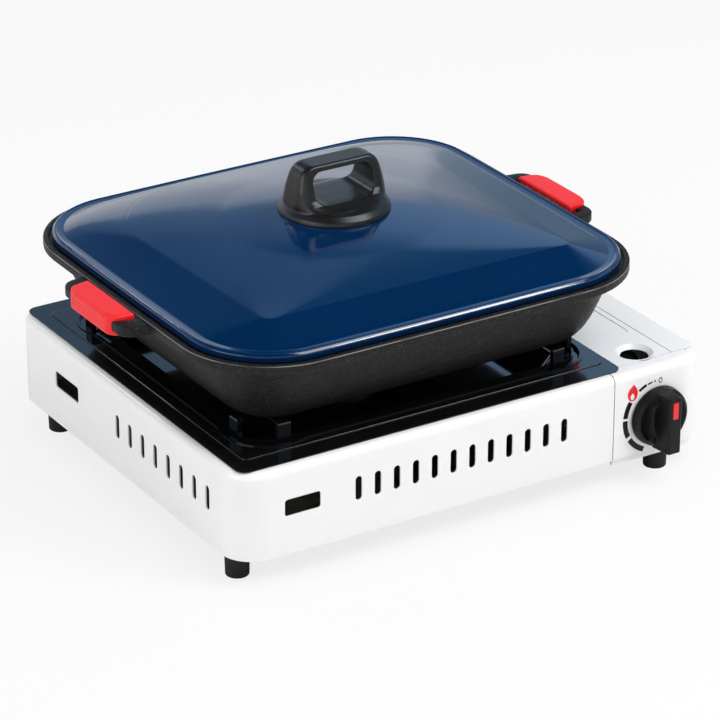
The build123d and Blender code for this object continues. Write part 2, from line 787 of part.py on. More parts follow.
def make_support_rivets():
    rivets = []
    z_head = support_base_z + support_sheet
    z_under = support_base_z - tray_sheet
    for x, y, angle in support_centres().values():
        for turn in (-rivet_angle, rivet_angle):
            a = math.radians(angle + turn)
            px = x + rivet_circle * math.cos(a)
            py = y + rivet_circle * math.sin(a)
            head = rod_z(px, py, z_head, z_head + rivet_head_height, rivet_head_radius)
            head = fillet(edges_at_z(head, z_head + rivet_head_height), rivet_head_fillet)
            tail = rod_z(px, py, z_under - rivet_head_height, z_under, rivet_head_radius * 0.8)
            rivets.append(head + rod_z(px, py, z_under - 0.1, z_head + 0.1, rivet_radius) + tail)
    return Compound(rivets)


# ================================================================ burner
bracket_top_z = z_base + base_sheet + bracket_height
burner_head_z = bracket_top_z + burner_body_height
burner_cap_z = burner_head_z + burner_head_height


def make_burner_bracket():
    """Bent strip that carries the burner above the base plate."""
    half = bracket_span / 2
    y0, y1 = -bracket_strip / 2, bracket_strip / 2
    z0 = z_base + base_sheet
    strip = block(-half, half, y0, y1, bracket_top_z - bracket_sheet, bracket_top_z)
    for side in (-1, 1):
        x0, x1 = sorted((side * half, side * (half - bracket_sheet)))
        strip += block(x0, x1, y0, y1, z0, bracket_top_z)
        x0, x1 = sorted((side * (half - bracket_sheet), side * (half + bracket_foot)))
        strip += block(x0, x1, y0, y1, z0, z0 + bracket_sheet)
        strip -= rod_z(side * burner_screw_half_x, 0, bracket_top_z - 2 * bracket_sheet, bracket_top_z + 1,
                       screw_radius + fit_clearance)
    strip = Pos(burner_x, burner_y, 0) * strip
    for x, y in bracket_rivet_places():
        strip -= rod_z(x, y, z0 - 1, z0 + bracket_sheet + 1, screw_radius + fit_clearance)
    return strip


def make_burner_body():
    """Cast gas chamber with the inlet for the mixing tube."""
    chamber = rod_z(0, 0, bracket_top_z, burner_head_z, burner_body_radius)
    chamber -= rod_z(0, 0, bracket_top_z + burner_floor, burner_head_z + 1, burner_body_radius - burner_wall)
    boss = rod_y(0, -burner_body_radius - 5, -burner_body_radius + burner_wall, tube_z, tube_radius + 2)
    boss &= block(-tube_radius * 3, tube_radius * 3, -burner_body_radius * 2, 0, bracket_top_z, burner_head_z)
    chamber += boss
    chamber -= rod_y(0, -burner_body_radius - 6, -burner_body_radius + burner_wall + 1, tube_z,
                     tube_radius + fit_clearance)
    for side in (-1, 1):
        chamber -= rod_z(side * burner_screw_half_x, 0, bracket_top_z - 1, bracket_top_z + burner_screw_bite + 0.5,
                         screw_radius + fit_clearance)
    return Pos(burner_x, burner_y, 0) * chamber


def make_burner_head():
    """Ring of flame ports that closes the chamber."""
    z0, z1 = burner_head_z, burner_cap_z
    head = rod_z(0, 0, z0, z1, burner_head_radius)
    head = chamfer(edges_at_z(head, z0), 3.0)
    head = fillet(edges_at_z(head, z1), 1.5)
    head -= rod_z(0, 0, z0 - 1, z1 - burner_wall, burner_head_radius - port_depth)
    slot = block(burner_head_radius - port_depth - 1, burner_head_radius + 1, -port_width / 2, port_width / 2,
                 z1 - port_height, z1 + 1)
    for i in range(port_count):
        head -= Rot(0, 0, 360 / port_count * i) * slot
    return Pos(burner_x, burner_y, 0) * head


def make_burner_cap():
    cap = rod_z(burner_x, burner_y, burner_cap_z, burner_cap_z + burner_cap_height, burner_cap_radius)
    return fillet(edges_at_z(cap, burner_cap_z + burner_cap_height), burner_cap_fillet)


def make_mixing_tube():
    """Air and gas tube from the nozzle round to the burner."""
    start = (tube_end_x, tube_y, tube_z)
    corner = (burner_x, tube_y, tube_z)
    end = (burner_x, burner_y - burner_body_radius + burner_wall, tube_z)
    path = FilletPolyline(start, corner, end, radius=tube_bend_radius)
    section = Plane(origin=start, z_dir=(-1, 0, 0)) * (Circle(tube_radius) - Circle(tube_radius - tube_wall))
    return sweep(section, path=path)


# ================================================================ gas side
def make_heat_shield():
    """Wall between the burner bay and the cartridge bay."""
    x0, x1 = shield_x, shield_x + shield_sheet
    end_y = panel_end_y - shelf_reach - 1
    z0 = z_base + base_sheet
    shield = block(x0, x1, -end_y, end_y, z0, z_top - deck_sheet)
    shield += block(x0 - shield_flange, x1, -end_y + 10, end_y - 10, z0, z0 + shield_sheet)
    shield -= rod_x(x0 - 1, x1 + 1, tube_y, tube_z, tube_radius + 6 * fit_clearance)
    for x, y in shield_rivet_places():
        shield -= rod_z(x, y, z0 - 1, z0 + 2 * shield_sheet, screw_radius + fit_clearance)
    lead = lead_points()[0]
    return shield - rod_x(x0 - 1, x1 + 1, lead[1], lead[2], lead_radius * 2)


regulator_x0 = knob_x - regulator_width / 2
regulator_x1 = knob_x + regulator_width / 2


def make_regulator_body():
    """Die-cast regulator and valve block behind the knob."""
    z0 = z_base + base_sheet
    body = block(regulator_x0, regulator_x1, regulator_front_y, regulator_back_y,
                 knob_z - regulator_height / 2, knob_z + regulator_height / 2)
    body = fillet(body.edges().filter_by(Axis.Y), regulator_fillet)
    body += rod_y(knob_x, regulator_front_y - neck_length, regulator_front_y + 1, knob_z, neck_radius)
    body += block(knob_x - valve_foot_half_x, knob_x + valve_foot_half_x, regulator_front_y + 6,
                  regulator_back_y - 6, z0, knob_z - regulator_height / 2 + 1)
    body -= rod_y(knob_x, regulator_front_y - neck_length - 1, regulator_front_y - neck_length + shaft_seat_depth,
                  knob_z, shaft_radius + fit_clearance)
    for x, y in panel_screw_places()[-2:]:
        body -= rod_z(x, y, z0 - 1, z0 + screw_bite + 1, screw_radius + fit_clearance)
    for y, z in diaphragm_screw_places():
        body -= rod_x(regulator_x1 - screw_bite - 1, regulator_x1 + 1, y, z, screw_radius + fit_clearance)
    return body


def make_diaphragm_cover():
    x0 = regulator_x1
    cover = rod_x(x0, x0 + diaphragm_thickness, (regulator_front_y + regulator_back_y) / 2, knob_z, diaphragm_radius)
    cover = fillet(cover.edges().filter_by_position(Axis.X, x0 + diaphragm_thickness - 0.01,
                                                    x0 + diaphragm_thickness + 0.01), 1.5)
    for y, z in diaphragm_screw_places():
        cover -= rod_x(x0 - 1, x0 + diaphragm_thickness + 1, y, z, screw_radius + fit_clearance)
    return cover


def diaphragm_screw_places():
    places = []
    for i in range(diaphragm_screw_count):
        a = 2 * math.pi * (i + 0.5) / diaphragm_screw_count
        places.append(((regulator_front_y + regulator_back_y) / 2 + diaphragm_screw_circle * math.cos(a),
                       knob_z + diaphragm_screw_circle * math.sin(a)))
    return places


def make_regulator_screws():
    x0 = regulator_x1
    x1 = x0 + diaphragm_thickness
    screws = []
    for y, z in diaphragm_screw_places():
        screws.append(rod_x(x0 - screw_bite, x1 + screw_head_height / 2, y, z, screw_radius)
                      + rod_x(x1, x1 + screw_head_height, y, z, rivet_head_radius))
    return Compound(screws)


def make_cartridge_seat():
    """Socket that the cartridge's collar enters."""
    seat = rod_y(cartridge_x, regulator_back_y, regulator_back_y + seat_depth, cartridge_z, seat_radius)
    seat -= rod_y(cartridge_x, regulator_back_y + seat_floor, regulator_back_y + seat_depth + 1, cartridge_z,
                  seat_bore_radius)
    return seat - rod_y(cartridge_x, regulator_back_y - 1, regulator_back_y + seat_floor + 1, cartridge_z,
                        stem_radius + stem_clearance)


def make_seat_magnet():
    y1 = regulator_back_y + seat_depth
    ring = rod_y(cartridge_x, y1 - magnet_thickness, y1, cartridge_z, magnet_radius)
    return ring - rod_y(cartridge_x, y1 - magnet_thickness - 1, y1 + 1, cartridge_z, magnet_inner_radius)


def make_gas_nozzle():
    """Brass jet that points into the mixing tube."""
    jet = rod_x(nozzle_tip_x, regulator_x0, tube_y, tube_z, nozzle_radius)
    jet += rod_x(regulator_x0 - nozzle_flange_length, regulator_x0, tube_y, tube_z, nozzle_flange_radius)
    jet -= rod_x(nozzle_tip_x - 1, nozzle_tip_x + 8, tube_y, tube_z, nozzle_radius / 3)
    return jet


igniter_z = knob_z + regulator_height / 2
igniter_x = regulator_x0 + igniter_size[0] / 2 + regulator_fillet
igniter_y = (regulator_front_y + regulator_back_y) / 2


def make_igniter():
    """Piezo igniter on top of the valve block."""
    x0, x1 = igniter_x - igniter_size[0] / 2, igniter_x + igniter_size[0] / 2
    y0, y1 = igniter_y - igniter_size[1] / 2, igniter_y + igniter_size[1] / 2
    box = block(x0, x1, y0, y1, igniter_z, igniter_z + igniter_size[2])
    return fillet(box.edges().filter_by(Axis.Y), 1.5)


def electrode_place():
    a = math.radians(electrode_angle)
    return (burner_x + electrode_circle * math.cos(a), burner_y + electrode_circle * math.sin(a))


def lead_points():
    """Route of the ignition lead, from the igniter to the electrode."""
    ex, ey = electrode_place()
    x0 = igniter_x - igniter_size[0] / 2
    return [
        (x0, igniter_y - 6, igniter_z + 5),
        (seam_x + 1.2, igniter_y - 6, igniter_z + 5),
        (seam_x - 15.8, -half_d + 34.0, 52.0),
        (seam_x - 44.8, -half_d + 48.0, 32.0),
        (30.0, -78.0, 28.0),
        (ex + 15, ey - 16, 26.5),
        (ex + 5.6, ey - 6.4, 26.0),
        (ex, ey, 34.5),
        (ex, ey, electrode_z0),
    ]


def lead_radii(points):
    """Each bend is as large as its two runs allow."""
    radii = []
    for a, b, c in zip(points, points[1:], points[2:]):
        u = Vector(*b) - Vector(*a)
        v = Vector(*c) - Vector(*b)
        turn = math.radians(u.get_angle(v))
        radii.append(0.45 * min(u.length, v.length) / math.tan(turn / 2))
    return radii


def make_ignition_lead():
    points = lead_points()
    radii = lead_radii(points)
    print("ignition lead bend radii", [round(r, 1) for r in radii])
    path = FilletPolyline(*points, radius=radii)
    start = Vector(*points[0])
    section = Plane(origin=start, z_dir=Vector(*points[1]) - start) * Circle(lead_radius)
    return sweep(section, path=path)


def make_electrode():
    """Ceramic ignition electrode with its spark wire."""
    x, y = electrode_place()
    rod = rod_z(x, y, electrode_z0, electrode_z1, electrode_radius)
    rod = fillet(edges_at_z(rod, electrode_z1), 1.0)
    return rod + rod_z(x, y, electrode_z1 - 1, electrode_z1 + electrode_wire_rise, electrode_wire_radius)


def make_electrode_bracket():
    """Clip from the burner body to the electrode."""
    z0 = electrode_bracket_z
    z1 = z0 + electrode_bracket_sheet
    arm = block(burner_body_radius, electrode_circle + electrode_radius + 2.5, -electrode_bracket_width / 2,
                electrode_bracket_width / 2, z0, z1)
    arm += block(burner_body_radius, burner_body_radius + electrode_bracket_sheet, -electrode_bracket_width / 2,
                 electrode_bracket_width / 2, z0 - 7, z1)
    arm -= rod_z(0, 0, bracket_top_z - 1, burner_head_z, burner_body_radius + fit_clearance)
    arm -= rod_z(electrode_circle, 0, z0 - 1, z1 + 1, electrode_radius + fit_clearance)
    return Pos(burner_x, burner_y, 0) * Rot(0, 0, electrode_angle) * arm


cartridge_back_y = cartridge_front_y + cartridge_length


def make_cartridge_can():
    """Steel butane cartridge lying on its side."""
    can = rod_y(cartridge_x, cartridge_front_y, cartridge_back_y, cartridge_z, cartridge_radius)
    for y0 in (cartridge_front_y, cartridge_back_y - cartridge_rim_width):
        can += rod_y(cartridge_x, y0, y0 + cartridge_rim_width, cartridge_z, cartridge_rim_radius)
    dome = Pos(cartridge_x, cartridge_front_y - cartridge_dome_height / 2, cartridge_z) * Rot(90, 0, 0) * Cone(
        cartridge_radius - 5, collar_radius + 1, cartridge_dome_height)
    can += dome
    dish = Pos(cartridge_x, cartridge_back_y, cartridge_z) * Rot(90, 0, 0) * Cylinder(cartridge_radius - 4, 6)
    return can - dish


def make_cartridge_valve():
    """Collar and stem on the cartridge's front."""
    y1 = cartridge_front_y - cartridge_dome_height
    collar = rod_y(cartridge_x, y1 - collar_length, y1, cartridge_z, collar_radius)
    collar -= rod_y(cartridge_x, y1 - collar_length - 1, y1 - 2, cartridge_z, collar_radius - 3)
    return collar + rod_y(cartridge_x, y1 - collar_length - stem_length / 2, y1 - 1, cartridge_z, stem_radius)


def make_cradle(y):
    """Saddle in the trough that the cartridge lies in."""
    z0 = trough_floor_z + base_sheet
    saddle = block(cartridge_x - cradle_width / 2, cartridge_x + cradle_width / 2, y - cradle_length / 2,
                   y + cradle_length / 2, z0, z0 + cradle_height)
    for side in (-1, 1):
        saddle -= rod_z(cartridge_x + side * cradle_screw_half_x, y, z0 - 1, z0 + cradle_screw_bite + 0.5,
                        screw_radius + fit_clearance)
    return saddle - rod_y(cartridge_x, y - cradle_length, y + cradle_length, cartridge_z,
                          cartridge_radius + cradle_clearance)


# ================================================================ knob
knob_back_y = -half_d - knob_gap
knob_disc_y = knob_back_y - knob_disc_depth
knob_face_y = knob_disc_y - knob_face_depth
knob_front_y = knob_face_y - knob_bar_depth


def make_control_knob():
    """Round skirt, raised face with two scoops, and a grip bar across it."""
    skirt = rod_y(knob_x, knob_disc_y, knob_back_y, knob_z, knob_radius)
    skirt = fillet(skirt.edges().filter_by_position(Axis.Y, knob_disc_y - 0.01, knob_disc_y + 0.01), knob_fillet)
    knob = skirt + rod_y(knob_x, knob_face_y, knob_disc_y + 1, knob_z, knob_face_radius)
    scoops = rod_y(knob_x, knob_face_y - 1, knob_face_y + knob_scoop_depth, knob_z, knob_scoop_radius)
    scoops -= block(knob_x - knob_bar_width / 2 - 1.5, knob_x + knob_bar_width / 2 + 1.5, knob_face_y - 2,
                    knob_face_y + knob_scoop_depth + 1, knob_z - knob_radius, knob_z + knob_radius)
    knob -= scoops
    bar = block(knob_x - knob_bar_width / 2, knob_x + knob_bar_width / 2, knob_front_y, knob_disc_y,
                knob_z - knob_bar_length / 2, knob_z + knob_bar_length / 2)
    bar = chamfer(bar.edges().filter_by(Axis.X).sort_by(Axis.Y)[:2], 3.0, 2.0)
    bar = fillet(bar.edges().filter_by(Axis.Z).sort_by(Axis.Y)[:2], knob_fillet)
    knob += bar
    knob -= rod_y(knob_x, knob_back_y - knob_hub_depth, knob_back_y + 1, knob_z, shaft_radius + fit_clearance)
    return knob - indicator_block()


def indicator_block():
    return block(knob_x - indicator_width / 2, knob_x + indicator_width / 2, knob_front_y,
                 knob_front_y + indicator_depth, knob_z + indicator_top - indicator_length, knob_z + indicator_top)


def make_knob_indicator():
    return indicator_block()


def make_knob_shaft():
    """Spindle from the knob into the valve block."""
    return rod_y(knob_x, knob_back_y - knob_hub_depth, regulator_front_y - neck_length + shaft_seat_depth - 1,
                 knob_z, shaft_radius)


# ================================================================ pan
pan_rim_half_x = lid_width / 2 + rim_overhang
lid_seat_z = rim_top_z - lid_ledge_depth


def pan_loop(side):
    """Cast carrying loop on one side; side is -1 for the left."""
    z0 = handle_z - handle_bar_height / 2
    reach = pan_rim_half_x + handle_reach
    root = pan_rim_half_x - handle_root
    outline = RectangleRounded(2 * (reach - root), 2 * handle_half_length, handle_corner_radius)
    hole = Pos(0, 0) * RectangleRounded(2 * (reach - root - handle_bar), 2 * (handle_half_length - handle_bar),
                                        handle_inner_radius)
    loop = extrude(Pos(root, 0, z0) * (outline - hole), handle_bar_height)
    loop &= block(root, reach + 1, -handle_half_length - 1, handle_half_length + 1, z0 - 1, handle_z + 10)
    outer = loop.edges().filter_by(Plane.XY).filter_by(lambda e: e.center().X > pan_rim_half_x + 1)
    loop = fillet(outer, handle_fillet)
    return loop if side > 0 else Rot(0, 0, 180) * loop


def make_grill_pan():
    """Cast pan: rim with a seat for the lid, drafted walls, rounded bottom, two loops."""
    foot_width = lid_width - 2 * pan_foot_inset
    foot_depth = lid_depth - 2 * pan_foot_inset
    foot_corner = lid_corner_radius - pan_foot_inset
    rim_bottom = rim_top_z - rim_band
    rise = rim_bottom + 2 - pan_seat_z
    outer = rounded_slab(0, 0, foot_width, foot_depth, foot_corner, pan_seat_z, pan_seat_z + rise, taper=-pan_draft)
    outer = fillet(edges_at_z(outer, pan_seat_z), pan_base_radius)
    rim = rounded_slab(0, 0, lid_width + 2 * rim_overhang, lid_depth + 2 * rim_overhang,
                       lid_corner_radius + rim_overhang, rim_bottom, rim_top_z)
    rim = fillet(edges_at_z(rim, rim_top_z) + edges_at_z(rim, rim_bottom), rim_fillet)
    pan = outer + rim + pan_loop(-1) + pan_loop(1)
    inner_rise = rim_top_z + 1 - pan_seat_z - pan_floor
    wall_run = pan_wall / math.cos(math.radians(pan_draft))
    floor_shift = pan_floor * math.tan(math.radians(pan_draft))
    inset = wall_run - floor_shift
    cavity = rounded_slab(0, 0, foot_width - 2 * inset, foot_depth - 2 * inset, foot_corner - inset,
                          pan_seat_z + pan_floor, pan_seat_z + pan_floor + inner_rise, taper=-pan_draft)
    cavity = fillet(edges_at_z(cavity, pan_seat_z + pan_floor), pan_base_radius - 4)
    mouth = rounded_slab(0, 0, lid_width - 2 * ledge_seat_width, lid_depth - 2 * ledge_seat_width,
                         lid_corner_radius - ledge_seat_width, pan_seat_z, rim_top_z + 2)
    pan -= cavity & mouth
    pan -= rounded_slab(0, 0, lid_width + 2 * lid_clearance, lid_depth + 2 * lid_clearance,
                        lid_corner_radius + lid_clearance, lid_seat_z, rim_top_z + 1)
    return Pos(pan_x, pan_y, 0) * pan


def make_grip(side):
    """Silicone sleeve over the middle of a loop."""
    x0 = pan_rim_half_x + grip_gap
    x1 = pan_rim_half_x + handle_reach + grip_outer
    z0 = handle_z - grip_height / 2
    sleeve = block(x0, x1, -grip_half_length, grip_half_length, z0, z0 + grip_height)
    sleeve = fillet(sleeve.edges().filter_by(Axis.Z).sort_by(Axis.X)[2:], grip_corner_radius)
    sleeve = fillet(sleeve.edges().filter_by(Plane.XY), grip_fillet)
    bar_x1 = pan_rim_half_x + handle_reach
    bar = block(bar_x1 - handle_bar, bar_x1, -grip_half_length - 1, grip_half_length + 1,
                handle_z - handle_bar_height / 2, handle_z + handle_bar_height / 2)
    outer = bar.edges().filter_by(Axis.Y)
    sleeve -= fillet(outer.sort_by(Axis.X)[2:] + outer.sort_by(Axis.X)[:2], handle_fillet)
    if side < 0:
        sleeve = Rot(0, 0, 180) * sleeve
    return Pos(pan_x, pan_y, 0) * sleeve


# ================================================================ lid
lid_rim_z = lid_seat_z + lid_rim_height
lid_top_z = lid_rim_z + lid_profile[-1][0]


def lid_form(drop, shrink):
    """Stepped dome through the lid's levels, lowered and drawn in for the inside."""
    sections = []
    for rise, inset in lid_profile:
        i = inset + shrink
        sections.append(Pos(0, 0, lid_rim_z + rise - drop) * RectangleRounded(
            lid_width - 2 * i, lid_depth - 2 * i, max(lid_corner_radius - i, lid_least_radius)))
    dome = None
    for low, high in zip(sections, sections[1:]):
        part = loft([low, high])
        dome = part if dome is None else dome + part
    return dome


def make_pan_lid():
    """Enamelled lid: rolled rim and low hipped dome."""
    rim = rounded_slab(0, 0, lid_width, lid_depth, lid_corner_radius, lid_seat_z, lid_rim_z)
    rim = fillet(edges_at_z(rim, lid_rim_z), lid_rim_fillet)
    rim -= rounded_slab(0, 0, lid_width - 2 * lid_rim_width, lid_depth - 2 * lid_rim_width,
                        lid_corner_radius - lid_rim_width, lid_seat_z - 1, lid_rim_z + 1)
    skirt = rounded_slab(0, 0, lid_width - 2 * lid_rim_width + 1, lid_depth - 2 * lid_rim_width + 1,
                         lid_corner_radius - lid_rim_width, lid_rim_z - lid_sheet, lid_rim_z)
    inner_edge = lid_profile[0][1] + lid_sheet
    skirt -= rounded_slab(0, 0, lid_width - 2 * inner_edge, lid_depth - 2 * inner_edge,
                          lid_corner_radius - inner_edge, lid_rim_z - lid_sheet - 1, lid_rim_z + 1)
    lid = rim + skirt + (lid_form(0, 0) - lid_form(lid_sheet, lid_sheet * 0.5))
    lid -= rod_z(0, 0, lid_top_z - 10, lid_top_z + 1, lid_screw_radius + fit_clearance)
    return Pos(pan_x, pan_y, 0) * lid


def make_lid_handle():
    """Round base that rises into a loop for the fingers, scooped in front and behind."""
    base_profile = Polyline((0, 0), (lid_handle_radius, 0), (lid_handle_radius, lid_handle_base),
                            (lid_handle_shoulder_radius, lid_handle_shoulder_height),
                            (0, lid_handle_shoulder_height), (0, 0))
    base = revolve(make_face(Plane.XZ * base_profile), Axis.Z)
    sections = [Pos(0, 0, z) * Ellipse(half_x, half_y) for z, half_x, half_y in lid_handle_sections]
    loop = loft(sections)
    top_z, top_x, top_y = lid_handle_sections[-1]
    loop += loft([Pos(0, 0, top_z) * Ellipse(top_x, top_y), Pos(0, 0, lid_handle_height) * Ellipse(
        top_x - lid_handle_top_inset, top_y - lid_handle_top_inset)])
    handle = base + loop
    hole_z = (lid_handle_hole_bottom + lid_handle_hole_top) / 2
    hole = Pos(0, hole_z) * RectangleRounded(lid_handle_hole_width, lid_handle_hole_top - lid_handle_hole_bottom,
                                             lid_handle_hole_radius)
    handle -= extrude(Plane.XZ * hole, lid_handle_radius, both=True)
    reach_x, reach_y, reach_z = lid_handle_scoop
    scoop = scale(Sphere(reach_y), (reach_x / reach_y, 1, reach_z / reach_y))
    for side in (-1, 1):
        handle -= Pos(0, side * lid_handle_scoop_y, lid_handle_scoop_z) * scoop
    handle -= rod_z(0, 0, -1, lid_screw_length, lid_screw_radius + fit_clearance)
    return Pos(pan_x, pan_y, lid_top_z) * handle


def make_lid_washer():
    z1 = lid_top_z - lid_sheet
    return rod_z(pan_x, pan_y, z1 - lid_washer_thickness, z1, lid_washer_radius) - rod_z(
        pan_x, pan_y, z1 - 5, z1 + 1, lid_screw_radius + fit_clearance)


def make_lid_screw():
    z1 = lid_top_z - lid_sheet - lid_washer_thickness
    head = rod_z(pan_x, pan_y, z1 - lid_screw_head_height, z1, lid_screw_head_radius)
    head = fillet(edges_at_z(head, z1 - lid_screw_head_height), lid_screw_head_height * 0.5)
    return head + rod_z(pan_x, pan_y, z1 - 0.1, lid_top_z + lid_screw_length - 1, lid_screw_radius)


# ================================================================ assembly
def build():
    nodes = {
        "main_shell": make_main_shell(),
        "control_panel": make_control_panel(),
        "rear_panel": make_rear_panel(),
        "deck_plate": make_deck_plate(),
        "cartridge_cover": make_cartridge_cover(),
        "cover_hinge_pins": make_cover_hinge_pins(),
        "base_plate": make_base_plate(),
        "shell_screws": make_shell_screws(),
        "panel_screws": make_panel_screws(),
        "cradle_screws": make_cradle_screws(),
        "burner_screws": make_burner_screws(),
        "bracket_rivets": make_bracket_rivets(),
        "shield_rivets": make_shield_rivets(),
        "foot_screws": make_foot_screws(),
        "foot_nuts": make_foot_nuts(),
        "drip_tray": make_drip_tray(),
        "support_rivets": make_support_rivets(),
        "burner_bracket": make_burner_bracket(),
        "burner_body": make_burner_body(),
        "burner_head": make_burner_head(),
        "burner_cap": make_burner_cap(),
        "mixing_tube": make_mixing_tube(),
        "heat_shield": make_heat_shield(),
        "regulator_body": make_regulator_body(),
        "diaphragm_cover": make_diaphragm_cover(),
        "regulator_screws": make_regulator_screws(),
        "cartridge_seat": make_cartridge_seat(),
        "seat_magnet": make_seat_magnet(),
        "gas_nozzle": make_gas_nozzle(),
        "igniter": make_igniter(),
        "ignition_lead": make_ignition_lead(),
        "electrode": make_electrode(),
        "electrode_bracket": make_electrode_bracket(),
        "cartridge_can": make_cartridge_can(),
        "cartridge_valve": make_cartridge_valve(),
        "control_knob": make_control_knob(),
        "knob_indicator": make_knob_indicator(),
        "knob_shaft": make_knob_shaft(),
        "grill_pan": make_grill_pan(),
        "grip_left": make_grip(-1),
        "grip_right": make_grip(1),
        "pan_lid": make_pan_lid(),
        "lid_handle": make_lid_handle(),
        "lid_washer": make_lid_washer(),
        "lid_screw": make_lid_screw(),
    }
    for place, (x, y) in foot_places.items():
        nodes[f"foot_{place}"] = make_foot(x, y)
    for place, (x, y, angle) in support_centres().items():
        nodes[f"pan_support_{place}"] = make_pan_support(x, y, angle)
    for place, y in cradle_ys.items():
        nodes[f"cartridge_cradle_{place}"] = make_cradle(y)
    return nodes


def frame_shift(nodes):
    """Move that puts the origin under the middle of the whole object's box."""
    boxes = [shape.bounding_box() for shape in nodes.values()]
    middle_x = (min(b.min.X for b in boxes) + max(b.max.X for b in boxes)) / 2
    middle_y = (min(b.min.Y for b in boxes) + max(b.max.Y for b in boxes)) / 2
    return Pos(-middle_x, -middle_y, 0)


if __name__ == "__main__":
    os.makedirs("parts", exist_ok=True)
    nodes = build()
    shift = frame_shift(nodes)
    print("frame shift", shift)
    for name, shape in nodes.items():
        export_step(shift * shape, f"parts/{name}.step")
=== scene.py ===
import json
import math
import bmesh
import bpy
from mathutils import Matrix, Vector


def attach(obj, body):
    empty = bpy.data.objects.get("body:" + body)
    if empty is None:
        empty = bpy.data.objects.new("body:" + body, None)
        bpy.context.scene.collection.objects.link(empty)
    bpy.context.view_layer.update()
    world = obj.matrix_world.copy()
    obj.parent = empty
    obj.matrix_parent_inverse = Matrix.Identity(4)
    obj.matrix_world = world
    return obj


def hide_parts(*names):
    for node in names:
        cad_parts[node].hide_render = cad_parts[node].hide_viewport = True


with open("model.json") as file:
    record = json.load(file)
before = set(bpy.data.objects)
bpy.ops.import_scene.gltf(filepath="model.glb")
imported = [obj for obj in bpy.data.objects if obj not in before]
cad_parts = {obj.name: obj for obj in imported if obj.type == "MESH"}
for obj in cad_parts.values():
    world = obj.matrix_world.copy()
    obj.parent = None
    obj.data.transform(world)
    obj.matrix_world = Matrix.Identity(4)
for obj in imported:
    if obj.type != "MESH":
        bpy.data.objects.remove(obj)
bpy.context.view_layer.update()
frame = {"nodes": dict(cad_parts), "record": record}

# lengths below are millimetres, with the middle of the stove's body at zero on the table;
# inside Geometry Nodes, and where a note says so, they are metres
tableShift = (13.8, 11.5)
slotOfNode = {row["node"]: row["material_slot"] for row in frame["record"]["subparts"]}


def spot(x, y, z):
    return Vector(((x + tableShift[0]) * 0.001, (y + tableShift[1]) * 0.001, z * 0.001))


# ---- nodes and shader arithmetic
def feed(tree, socket, value):
    # links what another node gives, or sets the socket's own value
    if isinstance(value, Amount):
        value = value.socket
    if isinstance(value, bpy.types.NodeSocket):
        tree.links.new(value, socket)
    else:
        socket.default_value = value


def addNode(tree, kind, settings=None, values=None):
    made = tree.nodes.new(kind)
    for name, value in (settings or {}).items():
        setattr(made, name, value)
    for name, value in (values or {}).items():
        feed(tree, made.inputs[name], value)
    return made


class Amount:
    # one shader number that can be used in plain arithmetic
    def __init__(self, tree, socket):
        self.tree, self.socket = tree, socket

    def maths(self, operation, first, second):
        made = addNode(self.tree, "ShaderNodeMath", {"operation": operation}, {0: first, 1: second})
        return Amount(self.tree, made.outputs[0])

    def __add__(self, other): return self.maths("ADD", self, other)
    def __radd__(self, other): return self.maths("ADD", other, self)
    def __sub__(self, other): return self.maths("SUBTRACT", self, other)
    def __rsub__(self, other): return self.maths("SUBTRACT", other, self)
    def __mul__(self, other): return self.maths("MULTIPLY", self, other)
    def __truediv__(self, other): return self.maths("DIVIDE", self, other)

    def between(self, low, high):
        # 0 below low, 1 above high, soft in between
        made = addNode(self.tree, "ShaderNodeMapRange", {"interpolation_type": "SMOOTHSTEP"},
                       {0: self, 1: low, 2: high})
        return Amount(self.tree, made.outputs[0])


class Finish:
    # one material: fixed sockets first, then what varies over the surface
    def __init__(self, name, fixed):
        self.material = bpy.data.materials.new(name)
        self.material.use_nodes = True
        self.tree = self.material.node_tree
        self.tree.nodes.clear()
        self.skin = self.node("ShaderNodeBsdfPrincipled")
        self.out = self.node("ShaderNodeOutputMaterial", values={"Surface": self.skin.outputs[0]})
        for socket, value in fixed.items():
            self.skin.inputs[socket].default_value = value

    def node(self, kind, settings=None, values=None):
        return addNode(self.tree, kind, settings, values)

    def where(self):
        return self.node("ShaderNodeTexCoord").outputs["Object"]

    def axis(self, letter):
        parts = self.node("ShaderNodeSeparateXYZ", values={"Vector": self.where()})
        return Amount(self.tree, parts.outputs[letter])

    def noise(self, size, detail, rough=0.5, stretch=None):
        # size is the width of a spot in millimetres
        where = self.where()
        if stretch:
            where = self.node("ShaderNodeMapping",
                              values={"Vector": where, "Scale": stretch}).outputs[0]
        made = self.node("ShaderNodeTexNoise", values={
            "Vector": where, "Scale": 1000 / size, "Detail": detail, "Roughness": rough})
        return Amount(self.tree, made.outputs["Fac"])

    def cells(self, size):
        made = self.node("ShaderNodeTexVoronoi",
                         values={"Vector": self.where(), "Scale": 1000 / size})
        return Amount(self.tree, made.outputs["Distance"])

    def blendColour(self, mask, below, above):
        below, above = [(*part, 1) if isinstance(part, tuple) else part for part in (below, above)]
        made = self.node("ShaderNodeMix", {"data_type": "RGBA"}, {0: mask, 6: below, 7: above})
        return made.outputs[2]

    def put(self, socket, value):
        feed(self.tree, self.skin.inputs[socket], value)

    def bump(self, height, depth, strength=1.0):
        # depth in millimetres
        made = self.node("ShaderNodeBump", values={
            "Height": height, "Strength": strength, "Distance": depth * 0.001})
        self.put("Normal", made.outputs[0])


def grey(value):
    return (value, value, value)


# ---- finishes, one for each slot of the record
# the noise levels between which one colour turns into the other, and how broken a grain is
softPatches, metalPatches = (0.35, 0.7), (0.3, 0.7)
grainRough = 0.6


